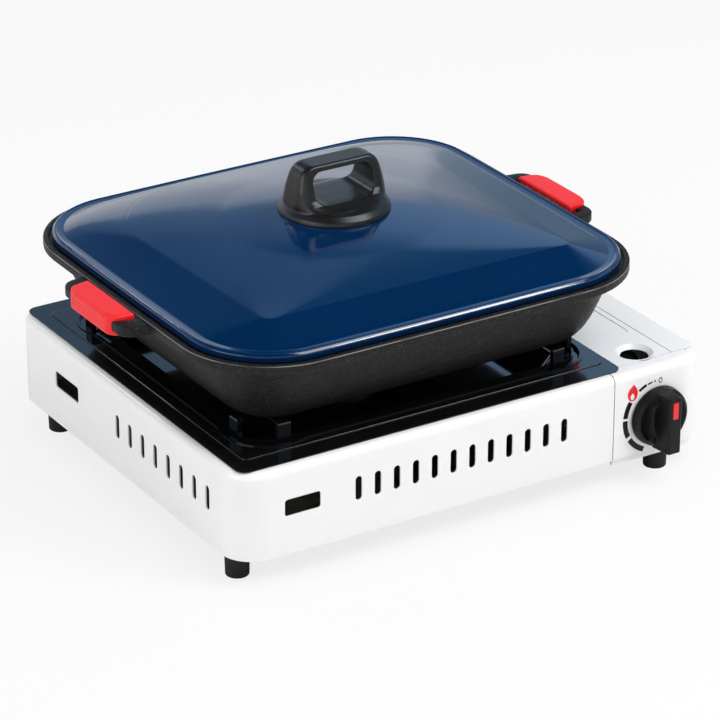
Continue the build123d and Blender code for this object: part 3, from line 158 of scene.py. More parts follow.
def paintedMetal(name, look):
    # sprayed and baked enamel: a slight ripple under a clear gloss
    patchSize, smudgeSize, grainSize, grainShare = 60, 9, 0.5, 0.15
    finish = Finish(name, {"Roughness": look["gloss"], "Coat Weight": look["coat"],
                           "Coat Roughness": look["coatGloss"]})
    patches = finish.noise(patchSize, 4).between(*softPatches)
    finish.put("Base Color", finish.blendColour(patches, look["colour"], look["shade"]))
    smudges = finish.noise(smudgeSize, 3) - 0.5
    finish.put("Roughness", look["gloss"] + smudges * look["glossChange"])
    grain = finish.noise(look["rippleSize"], 2) + finish.noise(grainSize, 2) * grainShare
    finish.bump(grain, look["ripple"])
    return finish.material


whiteSheetLook = {"colour": grey(0.835), "shade": grey(0.82), "gloss": 0.34, "glossChange": 0.10,
                  "coat": 0.25, "coatGloss": 0.12, "ripple": 0.010, "rippleSize": 2.4}
whiteMouldingLook = {"colour": (0.83, 0.83, 0.836), "shade": (0.82, 0.82, 0.826), "gloss": 0.26,
                     "glossChange": 0.08, "coat": 0.15, "coatGloss": 0.08, "ripple": 0.006,
                     "rippleSize": 3.2}
blackEnamelLook = {"colour": grey(0.0035), "shade": grey(0.0050), "gloss": 0.09,
                   "glossChange": 0.05, "coat": 0.3, "coatGloss": 0.03, "ripple": 0.007,
                   "rippleSize": 3.5}
lidEnamelLook = {"colour": (0.0001, 0.0172, 0.069), "shade": (0.0002, 0.0186, 0.074), "gloss": 0.12,
                 "glossChange": 0.05, "coat": 0.35, "coatGloss": 0.02, "ripple": 0.005,
                 "rippleSize": 5.0}
canPaintLook = {"colour": (0.72, 0.72, 0.73), "shade": (0.68, 0.68, 0.69), "gloss": 0.3,
                "glossChange": 0.1, "coat": 0.4, "coatGloss": 0.08, "ripple": 0.004,
                "rippleSize": 4.0}


def panCoating():
    # cast aluminium under a speckled hard coating; the rim's top edge is lighter in patches, partly
    # rubbed bare and partly a painted highlight
    look = {"dark": (0.0050, 0.0050, 0.0050), "cloud": (0.0080, 0.0080, 0.0078),
            "fleck": (0.085, 0.083, 0.080), "fleckShare": 0.8, "bareAndHighlight": (0.40, 0.39, 0.38),
            "bareAndHighlightShare": 0.5, "edgeZ": (156.9, 157.2, 157.5, 157.8), "gloss": 0.46,
            "glossChange": 0.16, "bareGloss": 0.1, "fleckSize": 0.9, "cloudSize": 14,
            "wearAndHighlightSize": 30, "smudgeSize": 6, "pitSize": 1.3, "pitShare": 0.5, "depth": 0.11,
            "shine": 0.20, "fleckRough": 0.75, "flecks": (0.56, 0.70), "clouds": (0.3, 0.75),
            "wearAndHighlight": (0.2, 0.6), "gritRough": 0.65, "strength": 0.9}
    finish = Finish("panCoating", {"Specular IOR Level": look["shine"]})
    flecks = finish.noise(look["fleckSize"], 2, look["fleckRough"]).between(*look["flecks"])
    clouds = finish.noise(look["cloudSize"], 4).between(*look["clouds"])
    body = finish.blendColour(clouds, look["dark"], look["cloud"])
    body = finish.blendColour(flecks * look["fleckShare"], body, look["fleck"])
    # a height band at the lip's top, broken by noise: rubbed-bare wear together with a painted
    # highlight
    low, wearAndHighlightFrom, wearAndHighlightTo, high = [z * 0.001 for z in look["edgeZ"]]
    level = finish.axis("Z")
    edge = level.between(low, wearAndHighlightFrom) * (1 - level.between(wearAndHighlightTo, high))
    wearAndHighlight = edge * finish.noise(look["wearAndHighlightSize"], 3).between(*look["wearAndHighlight"])
    # paints the rim's top edge lighter, as wear and as a painted highlight
    colour = finish.blendColour(wearAndHighlight * look["bareAndHighlightShare"], body, look["bareAndHighlight"])
    finish.put("Base Color", colour)
    smudges = (finish.noise(look["smudgeSize"], 3) - 0.5) * look["glossChange"]
    finish.put("Roughness", look["gloss"] + smudges - wearAndHighlight * look["bareGloss"])
    pits = finish.cells(look["pitSize"]) * look["pitShare"]
    grit = finish.noise(look["fleckSize"], 3, look["gritRough"])
    finish.bump(grit + pits, look["depth"], look["strength"])
    return finish.material


def mouldedPlastic(name, look):
    # spark-eroded mould grain on plastic or rubber
    patchSize, smudgeSize = 18, 4
    finish = Finish(name, {"Specular IOR Level": look.get("shine", 0.5)})
    patches = finish.noise(patchSize, 4).between(*softPatches)
    finish.put("Base Color", finish.blendColour(patches, look["colour"], look["shade"]))
    smudges = finish.noise(smudgeSize, 3) - 0.5
    finish.put("Roughness", look["gloss"] + smudges * look["glossChange"])
    finish.bump(finish.noise(look["grain"], 3, grainRough), look["depth"])
    return finish.material


plasticLooks = {
    "black_satin": {"colour": grey(0.0070), "shade": grey(0.0088), "shine": 0.42, "gloss": 0.33,
                    "glossChange": 0.08, "grain": 0.7, "depth": 0.012},
    "knob_black": {"colour": grey(0.0030), "shade": grey(0.0040), "shine": 0.22, "gloss": 0.36,
                   "glossChange": 0.10, "grain": 0.5, "depth": 0.018},
    "red_silicone": {"colour": (0.82, 0.011, 0.014), "shade": (0.79, 0.010, 0.013), "shine": 0.36,
                     "gloss": 0.42, "glossChange": 0.10, "grain": 0.6, "depth": 0.012},
    "red_mark": {"colour": (0.80, 0.010, 0.012), "shade": (0.76, 0.009, 0.011), "gloss": 0.32,
                 "glossChange": 0.06, "grain": 0.6, "depth": 0.006},
    "rubber_black": {"colour": grey(0.007), "shade": grey(0.010), "shine": 0.25, "gloss": 0.58,
                     "glossChange": 0.14, "grain": 0.45, "depth": 0.03},
    "ceramic": {"colour": (0.78, 0.76, 0.72), "shade": (0.70, 0.68, 0.64), "gloss": 0.30,
                "glossChange": 0.08, "grain": 0.8, "depth": 0.006},
    "ferrite": {"colour": grey(0.030), "shade": grey(0.045), "gloss": 0.55, "glossChange": 0.12,
                "grain": 0.5, "depth": 0.03},
    "lead_red": {"colour": (0.55, 0.02, 0.02), "shade": (0.48, 0.018, 0.018), "gloss": 0.42,
                 "glossChange": 0.1, "grain": 0.8, "depth": 0.01},
}


def bareMetal(name, look):
    # rolled, plated or cast metal with a grain along one way
    finish = Finish(name, {"Metallic": 1.0})
    grain = finish.noise(look["grain"], 4, grainRough, look["stretch"])
    patches = finish.noise(look["patch"], 4).between(*metalPatches)
    finish.put("Base Color", finish.blendColour(patches, look["colour"], look["shade"]))
    finish.put("Roughness", look["gloss"] + (grain - 0.5) * look["glossChange"])
    finish.bump(grain, look["depth"])
    return finish.material


metalLooks = {
    "galvanised": {"colour": (0.60, 0.61, 0.62), "shade": (0.47, 0.48, 0.50), "gloss": 0.40,
                   "glossChange": 0.22, "grain": 1.2, "stretch": (1, 1, 1), "patch": 7,
                   "depth": 0.010},
    "steel": {"colour": (0.58, 0.575, 0.565), "shade": (0.50, 0.495, 0.485), "gloss": 0.32,
              "glossChange": 0.2, "grain": 0.8, "stretch": (1, 9, 9), "patch": 16, "depth": 0.008},
    "burner_steel": {"colour": (0.42, 0.40, 0.37), "shade": (0.26, 0.23, 0.20), "gloss": 0.42,
                     "glossChange": 0.2, "grain": 0.7, "stretch": (1, 1, 6), "patch": 12,
                     "depth": 0.012},
    "die_cast": {"colour": (0.46, 0.46, 0.455), "shade": (0.38, 0.38, 0.375), "gloss": 0.50,
                 "glossChange": 0.2, "grain": 0.6, "stretch": (1, 1, 1), "patch": 9, "depth": 0.03},
    "brass": {"colour": (0.72, 0.50, 0.22), "shade": (0.60, 0.41, 0.18), "gloss": 0.28,
              "glossChange": 0.15, "grain": 0.5, "stretch": (6, 1, 1), "patch": 8, "depth": 0.006},
}

finishes = {"white_sheet": paintedMetal("whiteSheet", whiteSheetLook),
            "white_moulding": paintedMetal("whiteMoulding", whiteMouldingLook),
            "black_enamel": paintedMetal("blackEnamel", blackEnamelLook),
            "lid_enamel": paintedMetal("lidEnamel", lidEnamelLook),
            "can_paint": paintedMetal("canPaint", canPaintLook),
            "pan_coating": panCoating()}
finishes.update({name: mouldedPlastic(name, look) for name, look in plasticLooks.items()})
finishes.update({name: bareMetal(name, look) for name, look in metalLooks.items()})
print("finishes", len(finishes))


def dressNodes():
    # every part that keeps its own shape gets its slot's finish
    for name, part in frame["nodes"].items():
        part.data.materials.clear()
        part.data.materials.append(finishes[slotOfNode[name]])
    print("parts dressed", len(frame["nodes"]))


dressNodes()


# ---- shaping tools
def softLine(points, steps):
    # (across, up, radius) corners become a line with rounded corners, none of which takes
    # half of a side or more
    most = 0.49
    line = []
    for index, (across, up, radius) in enumerate(points):
        here = Vector((across, up))
        if not radius or index in (0, len(points) - 1):
            line.append((across, up))
            continue
        back, ahead = Vector(points[index - 1][:2]) - here, Vector(points[index + 1][:2]) - here
        half = back.angle(ahead) / 2
        cut = min(radius / math.tan(half), back.length * most, ahead.length * most)
        radius = cut * math.tan(half)
        backWay, aheadWay = back.normalized(), ahead.normalized()
        centre = here + (backWay + aheadWay).normalized() * (radius / math.sin(half))
        first, last = here + backWay * cut - centre, here + aheadWay * cut - centre
        turn = first.angle_signed(last)
        for step in range(steps + 1):
            angle = -turn * step / steps
            line.append((centre.x + first.x * math.cos(angle) - first.y * math.sin(angle),
                         centre.y + first.x * math.sin(angle) + first.y * math.cos(angle)))
    return line


def roundedRing(halfX, halfY, radius, z, middle=(0, 0), corner=14, side=10, bow=0.0):
    # a rectangle with round corners, its sides swelling by bow, counter-clockwise
    leastRadius, leastSide = 0.02, 0.01
    radius = max(leastRadius, min(radius, halfX - leastSide, halfY - leastSide))
    turns = []
    for signX, signY, start in ((1, 1, 0), (-1, 1, 90), (-1, -1, 180), (1, -1, 270)):
        for step in range(corner + 1):
            angle = math.radians(start + 90 * step / corner)
            turns.append((signX * (halfX - radius) + radius * math.cos(angle),
                          signY * (halfY - radius) + radius * math.sin(angle)))
    points = []
    for index, (x, y) in enumerate(turns):
        points.append((x, y))
        if index % (corner + 1) == corner:
            nextX, nextY = turns[(index + 1) % len(turns)]
            points += [(x + (nextX - x) * step / side, y + (nextY - y) * step / side)
                       for step in range(1, side)]
    ring = []
    for x, y in points:
        swellX = bow * (1 - (y / halfY) ** 2) * abs(x / halfX) ** 6
        swellY = bow * (1 - (x / halfX) ** 2) * abs(y / halfY) ** 6
        ring.append((middle[0] + x + math.copysign(swellX, x),
                     middle[1] + y + math.copysign(swellY, y), z))
    return ring


def circle(radius, z, middle=(0, 0)):
    steps = 96
    return [(middle[0] + radius * math.cos(2 * math.pi * step / steps),
             middle[1] + radius * math.sin(2 * math.pi * step / steps), z) for step in range(steps)]


def stacked(rings):
    # skins a stack of rings of equal length and closes its two ends
    points = [point for ring in rings for point in ring]
    count, faces = len(rings[0]), []
    for low in range(0, len(points) - count, count):
        high = low + count
        for step in range(count):
            after = (step + 1) % count
            faces.append((low + step, low + after, high + after, high + step))
    faces += [tuple(reversed(range(count))), tuple(range(len(points) - count, len(points)))]
    return points, faces


def joined(*solids):
    points, faces = [], []
    for solidPoints, solidFaces in solids:
        faces += [tuple(index + len(points) for index in face) for face in solidFaces]
        points += solidPoints
    return points, faces


def placed(name, data):
    piece = bpy.data.objects.new(name, data)
    bpy.context.scene.collection.objects.link(piece)
    return piece


def outward(mesh):
    # turns the faces of closed shapes to the outside
    work = bmesh.new()
    work.from_mesh(mesh)
    bmesh.ops.recalc_face_normals(work, faces=work.faces)
    work.to_mesh(mesh)
    work.free()


def rawMesh(name, solid):
    mesh = bpy.data.meshes.new(name)
    mesh.from_pydata([spot(*point) for point in solid[0]], [], solid[1])
    outward(mesh)
    return placed(name, mesh)


def settle(piece):
    # bakes the modifiers into the mesh
    bpy.context.view_layer.update()
    shaped = piece.evaluated_get(bpy.context.evaluated_depsgraph_get())
    baked = bpy.data.meshes.new_from_object(shaped)
    piece.modifiers.clear()
    piece.data = baked
    return piece


def finished(piece, body, slot, replaces, crease):
    # smooth shading with crisp creases, a finish, and the body it rides on
    for face in piece.data.polygons:
        face.use_smooth = True
    piece.data.set_sharp_from_angle(angle=math.radians(crease))
    piece.data.materials.clear()
    piece.data.materials.append(finishes[slot])
    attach(piece, body)
    if replaces:
        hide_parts(*replaces)


def carved(piece, cutters, operation="DIFFERENCE"):
    for cutter in cutters:
        step = piece.modifiers.new("carve", "BOOLEAN")
        step.operation, step.solver, step.object = operation, "EXACT", cutter
        settle(piece)
        bpy.data.objects.remove(cutter)


def cast(piece, plan):
    # melts a rough assembly into one soft-edged casting; the plan's grain is in millimetres
    step = piece.modifiers.new("remesh", "REMESH")
    step.mode, step.voxel_size = "VOXEL", plan["grain"] * 0.001
    settle(piece)
    step = piece.modifiers.new("soften", "SMOOTH")
    step.factor, step.iterations = 0.5, plan["softness"]
    settle(piece)
    step = piece.modifiers.new("thin", "DECIMATE")
    step.ratio = plan["keep"]
    settle(piece)


# ---- pan
pan = {"middle": (-22.0, -4.0), "width": 334.6, "depth": 304.6, "corner": 60.0, "bow": 1.2,
       "overhang": 6.6, "gap": 2.6, "rimTop": 158.2, "rimLow": 151.4, "seat": 156.2,
       "floorZ": 105.0,
       "wall": ((40, 100.0, 0), (36, 100.2, 2), (33, 102.0, 6), (27, 106.0, 12), (22, 112.0, 30),
                (17.5, 120.0, 40), (13.2, 130.0, 60), (9.2, 140.0, 60), (6.8, 146.0, 20),
                (5.0, 151.0, 0.5)),
       "loop": {"half": 46.6, "reach": 19.8, "bar": 9.0, "tall": 8.0, "z": 152.6, "bend": 13.0,
                "root": 3.0, "straight": 5.0, "flare": 6.0, "flareRun": 11, "thinning": 0.6,
                "edge": 1.6}}


def panRing(inset, z):
    leastCorner = 12.0
    return roundedRing(pan["width"] / 2 - inset, pan["depth"] / 2 - inset,
                       max(pan["corner"] - inset, leastCorner), z, pan["middle"], bow=pan["bow"])


def panLoop(side):
    # a flat cast bar that leaves the wall, turns twice and goes back in, wider where it leaves
    loop = pan["loop"]
    midX, midY = pan["middle"]
    rootX = pan["width"] / 2 + loop["root"]
    bendX = rootX + loop["straight"]
    outX = pan["width"] / 2 + pan["overhang"] + loop["reach"] - loop["bar"] / 2
    reach = loop["half"] - loop["bar"] / 2
    track = softLine([(rootX, -reach, 0), (bendX, -reach, 0), (outX, -reach, loop["bend"]),
                      (outX, reach, loop["bend"]), (bendX, reach, 0), (rootX, reach, 0)], steps=10)
    rings = []
    for index, (x, y) in enumerate(track):
        before = Vector(track[max(index - 1, 0)])
        after = Vector(track[min(index + 1, len(track) - 1)])
        along = (after - before).normalized()
        away = max(0.0, 1 - (x - rootX) / loop["flareRun"])
        half = loop["bar"] / 2 + loop["flare"] * away ** 2
        tall = loop["tall"] / 2 - loop["thinning"] * away
        section = roundedRing(half, tall, loop["edge"], 0, corner=4, side=2)
        rings.append([(midX + side * (x + along.y * across), midY + y - along.x * across,
                       loop["z"] + up) for across, up, _ in section])
    return stacked(rings)


def makePan():
    floorZ, seat, gap = pan["floorZ"], pan["seat"], pan["gap"]
    over, rimTop, rimLow = -pan["overhang"], pan["rimTop"], pan["rimLow"]
    inside = [(60, floorZ, 0), (36, floorZ, 9), (27, 112.0, 20), (19.5, 128.0, 30),
              (9.2, 154.6, 1.5), (8.6, seat, 0.7)]
    rim = [(-gap, seat, 0.5), (-gap, rimTop, 0.9), (over, rimTop, 1.2), (over, rimLow, 0.9),
           (4.9, rimLow - 0.2, 0.8)]
    outline = softLine(inside + rim + list(reversed(pan["wall"])), steps=4)
    body = stacked([panRing(inset, z) for inset, z in outline])
    piece = rawMesh("grillPan", joined(body, panLoop(1), panLoop(-1)))
    finished(piece, "pan", "pan_coating", ["grill_pan"], crease=40)


makePan()
print("pan")

# ---- lid
lid = {"sheet": 1.2, "underEdge": ((2.2, 156.6), (2.4, 161.4), (7.4, 161.4)),
       "edge": ((1.2, 156.6, 0), (0.2, 157.3, 0.8), (0.0, 161.4, 0.9), (1.7, 163.4, 1.4),
                (4.0, 162.8, 0.9), (8.0, 162.5, 2.2), (12.0, 164.3, 0)),
       "facets": (0.04, 0.25, 0.5, 0.75, 0.94, 0.985, 1.0),
       "crease": (123.0, 120.0, 7.0, 175.7), "creaseDrop": 0.06, "lean": -3.0, "spread": 8.0,
       "backRadius": 78.0, "backLimit": 0.96, "backBlend": 2.0,
       "crown": (28.0, 28.0), "crownSteps": 30, "crownStart": 1.6, "steep": 0.203, "flat": 0.044,
       "rounding": (2.2, 0.8)}


def leanedRing(ring, amount):
    # the left facet narrows towards the back
    midX, midY = pan["middle"]
    halfX, halfY = lid["crease"][:2]
    leaned = []
    for x, y, z in ring:
        left, back = max(0.0, (midX - x) / halfX), max(0.0, 0.5 + (y - midY) / (2 * halfY))
        leaned.append((x - amount * left * back, y, z))
    return leaned


def creaseRing(halfX, halfY, radius, z, middle, share, bow=0.0):
    # tight corners in front, wide ones at the back, as the sheet was pressed
    wideRadius = max(radius, min(lid["backRadius"], lid["backLimit"] * min(halfX, halfY)))
    tight = roundedRing(halfX, halfY, radius, z, middle, bow=bow)
    wide = roundedRing(halfX, halfY, wideRadius, z, middle, bow=bow)
    ring = []
    for (x, y, _), (wideX, wideY, _) in zip(tight, wide):
        amount = share * min(1.0, max(0.0, (y - middle[1]) / halfY * lid["backBlend"]))
        ring.append((x + (wideX - x) * amount, y + (wideY - y) * amount, z))
    return leanedRing(ring, lid["spread"] * share)


def lidRings():
    # rolled edge, straight facets up to the crease, then a soft crown, round in its middle
    rings = [panRing(inset, z) for inset, z in softLine(lid["edge"], steps=6)]
    inset, low = lid["edge"][-1][:2]
    foot = (pan["width"] / 2 - inset, pan["depth"] / 2 - inset, pan["corner"] - inset, low)
    midX, midY = pan["middle"]
    crease, crown, lean = lid["crease"], lid["crown"], lid["lean"]
    for share in lid["facets"]:
        halfX, halfY, radius, z = [start + (end - start) * share
                                   for start, end in zip(foot, crease)]
        if share == 1.0:
            z -= lid["creaseDrop"]
        rings.append(creaseRing(halfX, halfY, radius, z, (midX + lean * share, midY), share,
                                pan["bow"] * (1 - share)))
    run = crease[0] - crown[0]
    widening, power = lid["rounding"]
    for step in range(1, lid["crownSteps"] + 1):
        # the first two rings keep close to the crease
        share = (step / lid["crownSteps"]) ** (lid["crownStart"] if step < 3 else 1)
        halfX, halfY = [crease[side] + (crown[side] - crease[side]) * share for side in (0, 1)]
        roundness = min(1.0, share * widening) ** power
        radius = crease[2] + (min(halfX, halfY) - crease[2]) * roundness
        rise = lid["steep"] * share - (lid["steep"] - lid["flat"]) / 2 * share ** 2
        rings.append(creaseRing(halfX, halfY, radius, crease[3] + run * rise,
                                (midX + lean * (1 - share), midY), 1 - share))
    return rings


def makeLid():
    rings = lidRings()
    domed = rings[-lid["crownSteps"] - len(lid["facets"]):]
    under = [panRing(inset, z) for inset, z in lid["underEdge"]]
    under += [[(x, y, z - lid["sheet"]) for x, y, z in ring] for ring in domed]
    piece = rawMesh("panLid", stacked(under[::-1] + rings))
    finished(piece, "lid", "lid_enamel", ["pan_lid"], crease=40)


makeLid()
print("lid")

# ---- lid handle
lidHandle = {"middle": (-22.0, -4.0), "z": 187.4,
             "base": ((36.5, -1.3, 0), (39.2, -1.3, 0.4), (40.0, 0.2, 0.9), (39.4, 2.8, 2.6),
                      (35.9, 6.9, 3.2), (31.0, 7.5, 0)),
             "body": ((0.0, 36.5, 34.0, 0.98), (6.2, 36.5, 32.6, 0.98), (7.4, 36.4, 28.6, 0.95),
                      (8.8, 36.3, 24.0, 0.86), (11.0, 36.0, 19.0, 0.70), (14.2, 35.5, 16.0, 0.58),
                      (20.0, 34.5, 13.8, 0.48), (25.0, 33.3, 12.4, 0.45), (29.0, 32.3, 11.3, 0.45),
                      (32.0, 31.0, 10.6, 0.45), (34.4, 29.2, 10.1, 0.45), (36.0, 27.0, 9.6, 0.45),
                      (36.9, 24.6, 8.9, 0.45), (37.2, 22.2, 7.8, 0.45)),
             "opening": {"half": 24.0, "low": 11.0, "high": 33.0, "corner": 8.0, "deep": 30,
                         "flare": 0.8, "flareSize": (20, 10),
                         "flareAt": ((0, 1), (0.25, 0.15), (0.5, 0), (0.75, 0.15), (1, 1))},
             "grain": 0.45, "softness": 7, "keep": 0.6}


def prism(outline, middle, opening):
    # an upright opening through the handle that widens a little at both faces
    flareX, flareZ = opening["flareSize"]
    rings = []
    for share, amount in opening["flareAt"]:
        grow = opening["flare"] * amount
        rings.append([(middle[0] + x * (1 + grow / flareX),
                       middle[1] + opening["deep"] * (2 * share - 1),
                       middle[2] + z * (1 + grow / flareZ)) for x, z, _ in outline])
    return stacked(rings)


def ball(middle, size):
    levels, steps = 24, 48
    turns = [2 * math.pi * step / steps for step in range(steps)]
    rings = []
    for level in range(1, levels):
        angle = math.pi * level / levels
        rings.append([(middle[0] + size[0] * math.sin(angle) * math.cos(turn),
                       middle[1] + size[1] * math.sin(angle) * math.sin(turn),
                       middle[2] - size[2] * math.cos(angle)) for turn in turns])
    return stacked(rings)


def makeLidHandle():
    middle, foot = lidHandle["middle"], lidHandle["z"]
    base = [circle(radius, foot + up, middle)
            for radius, up in softLine(lidHandle["base"], steps=4)]
    body = [roundedRing(halfX, halfY, min(halfX, halfY) * rounding, foot + up, middle, corner=20)
            for up, halfX, halfY, rounding in lidHandle["body"]]
    piece = rawMesh("lidHandle", stacked(base))
    carved(piece, [rawMesh("arch", stacked(body))], "UNION")
    hole = lidHandle["opening"]
    outline = roundedRing(hole["half"], (hole["high"] - hole["low"]) / 2, hole["corner"], 0,
                          corner=8)
    centre = (*middle, foot + (hole["high"] + hole["low"]) / 2)
    carved(piece, [rawMesh("hole", prism(outline, centre, hole))])
    cast(piece, lidHandle)
    finished(piece, "lid", "black_satin", ["lid_handle"], crease=60)


makeLidHandle()
print("lid handle")

# ---- grips
grip = {"inner": 177.9, "outer": 198.6, "wallInner": 184.6, "half": 33.5, "slant": 2.6, "bow": 4.2,
        "corner": 16.0, "innerCorner": 1.2, "inset": 0.4, "top": 160.0, "low": 145.2, "lip": 154.8,
        "wallDrop": 0.3, "edge": 2.4, "topEdge": 0.8, "wallEdge": 0.7,
        "grain": 0.45, "softness": 2, "keep": 0.35}


def gripOutline(inner):
    # seen from above: straight towards the pan, slanted ends, a swelling side with round corners
    half, outer, bow = grip["half"], grip["outer"], grip["bow"]
    share = (inner - grip["inner"]) / (outer - grip["inner"])
    innerHalf, outerHalf = half - grip["slant"] * share, half - grip["slant"]
    outerX = outer - grip["inset"]
    line = softLine([(inner, 0, 0), (inner, -innerHalf, grip["innerCorner"]),
                     (outerX, -outerHalf, grip["corner"]), (outerX, outerHalf, grip["corner"]),
                     (inner, innerHalf, grip["innerCorner"]), (inner, 0, 0)], steps=10)[:-1]
    return [(x + (bow * (1 - (y / half) ** 2) - bow) * max(0, (x - inner) / (outer - inner)), y)
            for x, y in line]


def slab(outline, low, high, edge, place):
    # a flat block with rolled top and bottom edges
    edgeSteps = 5
    allX, allY = [x for x, _ in outline], [y for _, y in outline]
    middleX, middleY = sum(allX) / len(outline), sum(allY) / len(outline)
    spanX, spanY = (max(allX) - min(allX)) / 2, (max(allY) - min(allY)) / 2

    def ring(inset, z):
        return [place(middleX + (x - middleX) * (1 - inset / spanX),
                      middleY + (y - middleY) * (1 - inset / spanY), z) for x, y in outline]

    def rolled(steps, level):
        turns = [math.pi * step / (2 * edgeSteps) for step in steps]
        return [ring(edge * (1 - math.sin(turn)), level - edge * math.cos(turn)) for turn in turns]

    straight = [ring(0, low + edge), ring(0, high - edge)]
    bottom, top = range(edgeSteps), range(edgeSteps + 1, 2 * edgeSteps + 1)
    return stacked(rolled(bottom, low + edge) + straight + rolled(top, high - edge))


def makeGrip(side, name, node):
    def place(x, y, z):
        return (pan["middle"][0] + side * x, pan["middle"][1] + y, z)

    top = slab(gripOutline(grip["inner"]), grip["lip"], grip["top"], grip["edge"] * grip["topEdge"],
               place)
    wall = slab(gripOutline(grip["wallInner"]), grip["low"], grip["top"] - grip["wallDrop"],
                grip["edge"] * grip["wallEdge"], place)
    piece = rawMesh(name, top)
    carved(piece, [rawMesh("gripWall", wall)], "UNION")
    cast(piece, grip)
    finished(piece, "pan", "red_silicone", [node], crease=60)


makeGrip(-1, "gripLeft", "grip_left")
makeGrip(1, "gripRight", "grip_right")
print("grips")

# ---- control knob
knob = {"x": 147.5, "z": 47.5, "backY": -163.0,
        "skirt": ((20.0, 0.0, 0), (22.2, 0.0, 0.3), (22.4, 1.2, 0.8), (21.6, 6.6, 0.8),
                  (19.9, 7.2, 0.3), (19.5, 8.6, 0.5), (17.0, 9.0, 0)),
        "bar": ((5.0, 7.2, -22.2, 20.8), (9.0, 6.5, -22.3, 20.6), (15.0, 5.7, -22.3, 20.1),
                (20.6, 5.2, -22.2, 19.5), (21.6, 4.9, -21.9, 19.2), (22.0, 4.3, -21.3, 18.6)),
        "barCorner": 0.9, "scoop": {"across": 12.0, "size": (8.4, 4.6, 14.4), "out": 9.6},
        "grain": 0.32, "softness": 2, "keep": 0.3,
        "mark": {"half": 2.2, "low": 5.2, "high": 17.8, "corner": 0.5, "out": 22.15, "deep": 0.9,
                 "edge": 0.12, "faceSize": 0.97}}


def knobSpot(across, up, out):
    return (knob["x"] + across, knob["backY"] - out, knob["z"] + up)


def makeKnob():
    skirt = [[knobSpot(x, z, out) for x, z, _ in circle(radius, 0)]
             for radius, out in softLine(knob["skirt"], steps=4)]
    bar = []
    for out, half, low, high in knob["bar"]:
        section = roundedRing(half, (high - low) / 2, knob["barCorner"], 0, corner=4)
        bar.append([knobSpot(x, (low + high) / 2 + z, out) for x, z, _ in section])
    piece = rawMesh("controlKnob", stacked(skirt))
    scoop = knob["scoop"]
    middles = [knobSpot(side * scoop["across"], 0, scoop["out"]) for side in (-1, 1)]
    carved(piece, [rawMesh("scoop", ball(middle, scoop["size"])) for middle in middles])
    carved(piece, [rawMesh("bar", stacked(bar))], "UNION")
    cast(piece, knob)
    finished(piece, "knob", "knob_black", ["control_knob"], crease=60)
    mark = knob["mark"]
    outline = roundedRing(mark["half"], (mark["high"] - mark["low"]) / 2, mark["corner"], 0,
                          corner=4)
    centre, face = (mark["high"] + mark["low"]) / 2, mark["out"]
    levels = ((1, face - mark["deep"]), (1, face - mark["edge"]), (mark["faceSize"], face))
    strip = [[knobSpot(x * size, centre + z * size, out) for x, z, _ in outline]
             for size, out in levels]
    piece = rawMesh("knobIndicator", stacked(strip))
    finished(piece, "knob", "red_mark", ["knob_indicator"], crease=35)


makeKnob()
print("knob")


# ---- Geometry Nodes
def newTree(name, inputs):
    tree = bpy.data.node_groups.new(name, "GeometryNodeTree")
    tree.interface.new_socket("Geometry", in_out="INPUT", socket_type="NodeSocketGeometry")
    for label, (kind, value) in inputs.items():
        socket = tree.interface.new_socket(label, in_out="INPUT", socket_type=kind)
        socket.default_value = value
    tree.interface.new_socket("Geometry", in_out="OUTPUT", socket_type="NodeSocketGeometry")
    return tree, tree.nodes.new("NodeGroupInput"), tree.nodes.new("NodeGroupOutput")


def closeTree(tree, last, finish, output):
    real = addNode(tree, "GeometryNodeRealizeInstances", values={"Geometry": last})
    coated = addNode(tree, "GeometryNodeSetMaterial",
                     values={"Geometry": real.outputs[0], "Material": finish})
    tree.links.new(coated.outputs[0], output.inputs[0])


def grown(name, tree, points, settings):
    # runs a tree on a few points and keeps the plain mesh
    mesh = bpy.data.meshes.new(name)
    mesh.from_pydata([Vector(point) for point in points], [], [])
    piece = placed(name, mesh)
    step = piece.modifiers.new("grow", "NODES")
    step.node_group = tree
    for item in tree.interface.items_tree:
        if item.item_type == "SOCKET" and item.in_out == "INPUT" and item.name in settings:
            step[item.identifier] = settings[item.name]
    return settle(piece)


# ---- printed dial
dial = {"lift": 0.06, "heartLift": 1.5, "sink": 0.02, "faceY": -162.0,
        "bands": ((26.9, 4.0, 147.4, 174.2), (26.9, 4.0, 177.8, 206.7), (26.9, 4.0, 212.7, 247.2),
                  (26.6, 2.2, 110.8, 125.8), (26.4, 1.2, 100.0, 109.0), (26.3, 1.5, 93.6, 96.2)),
        "flames": ({"name": "dialBigFlame", "heartName": "dialFlameHeart", "slot": "red_mark",
                    "box": (126.4, 69.0, 8.8, 12.7), "heart": (-0.2, -2.794, 0.36, 0.40)},
                   {"name": "dialSmallFlame", "heartName": "dialSmallHeart", "slot": "knob_black",
                    "box": (150.0, 73.6, 3.5, 4.6), "heart": (0, -0.12, 0.58, 0.58)}),
        "flameSteps": 28, "lean": 0.10, "pinch": 0.55, "belly": 0.25, "plump": (0.35, 0.15)}


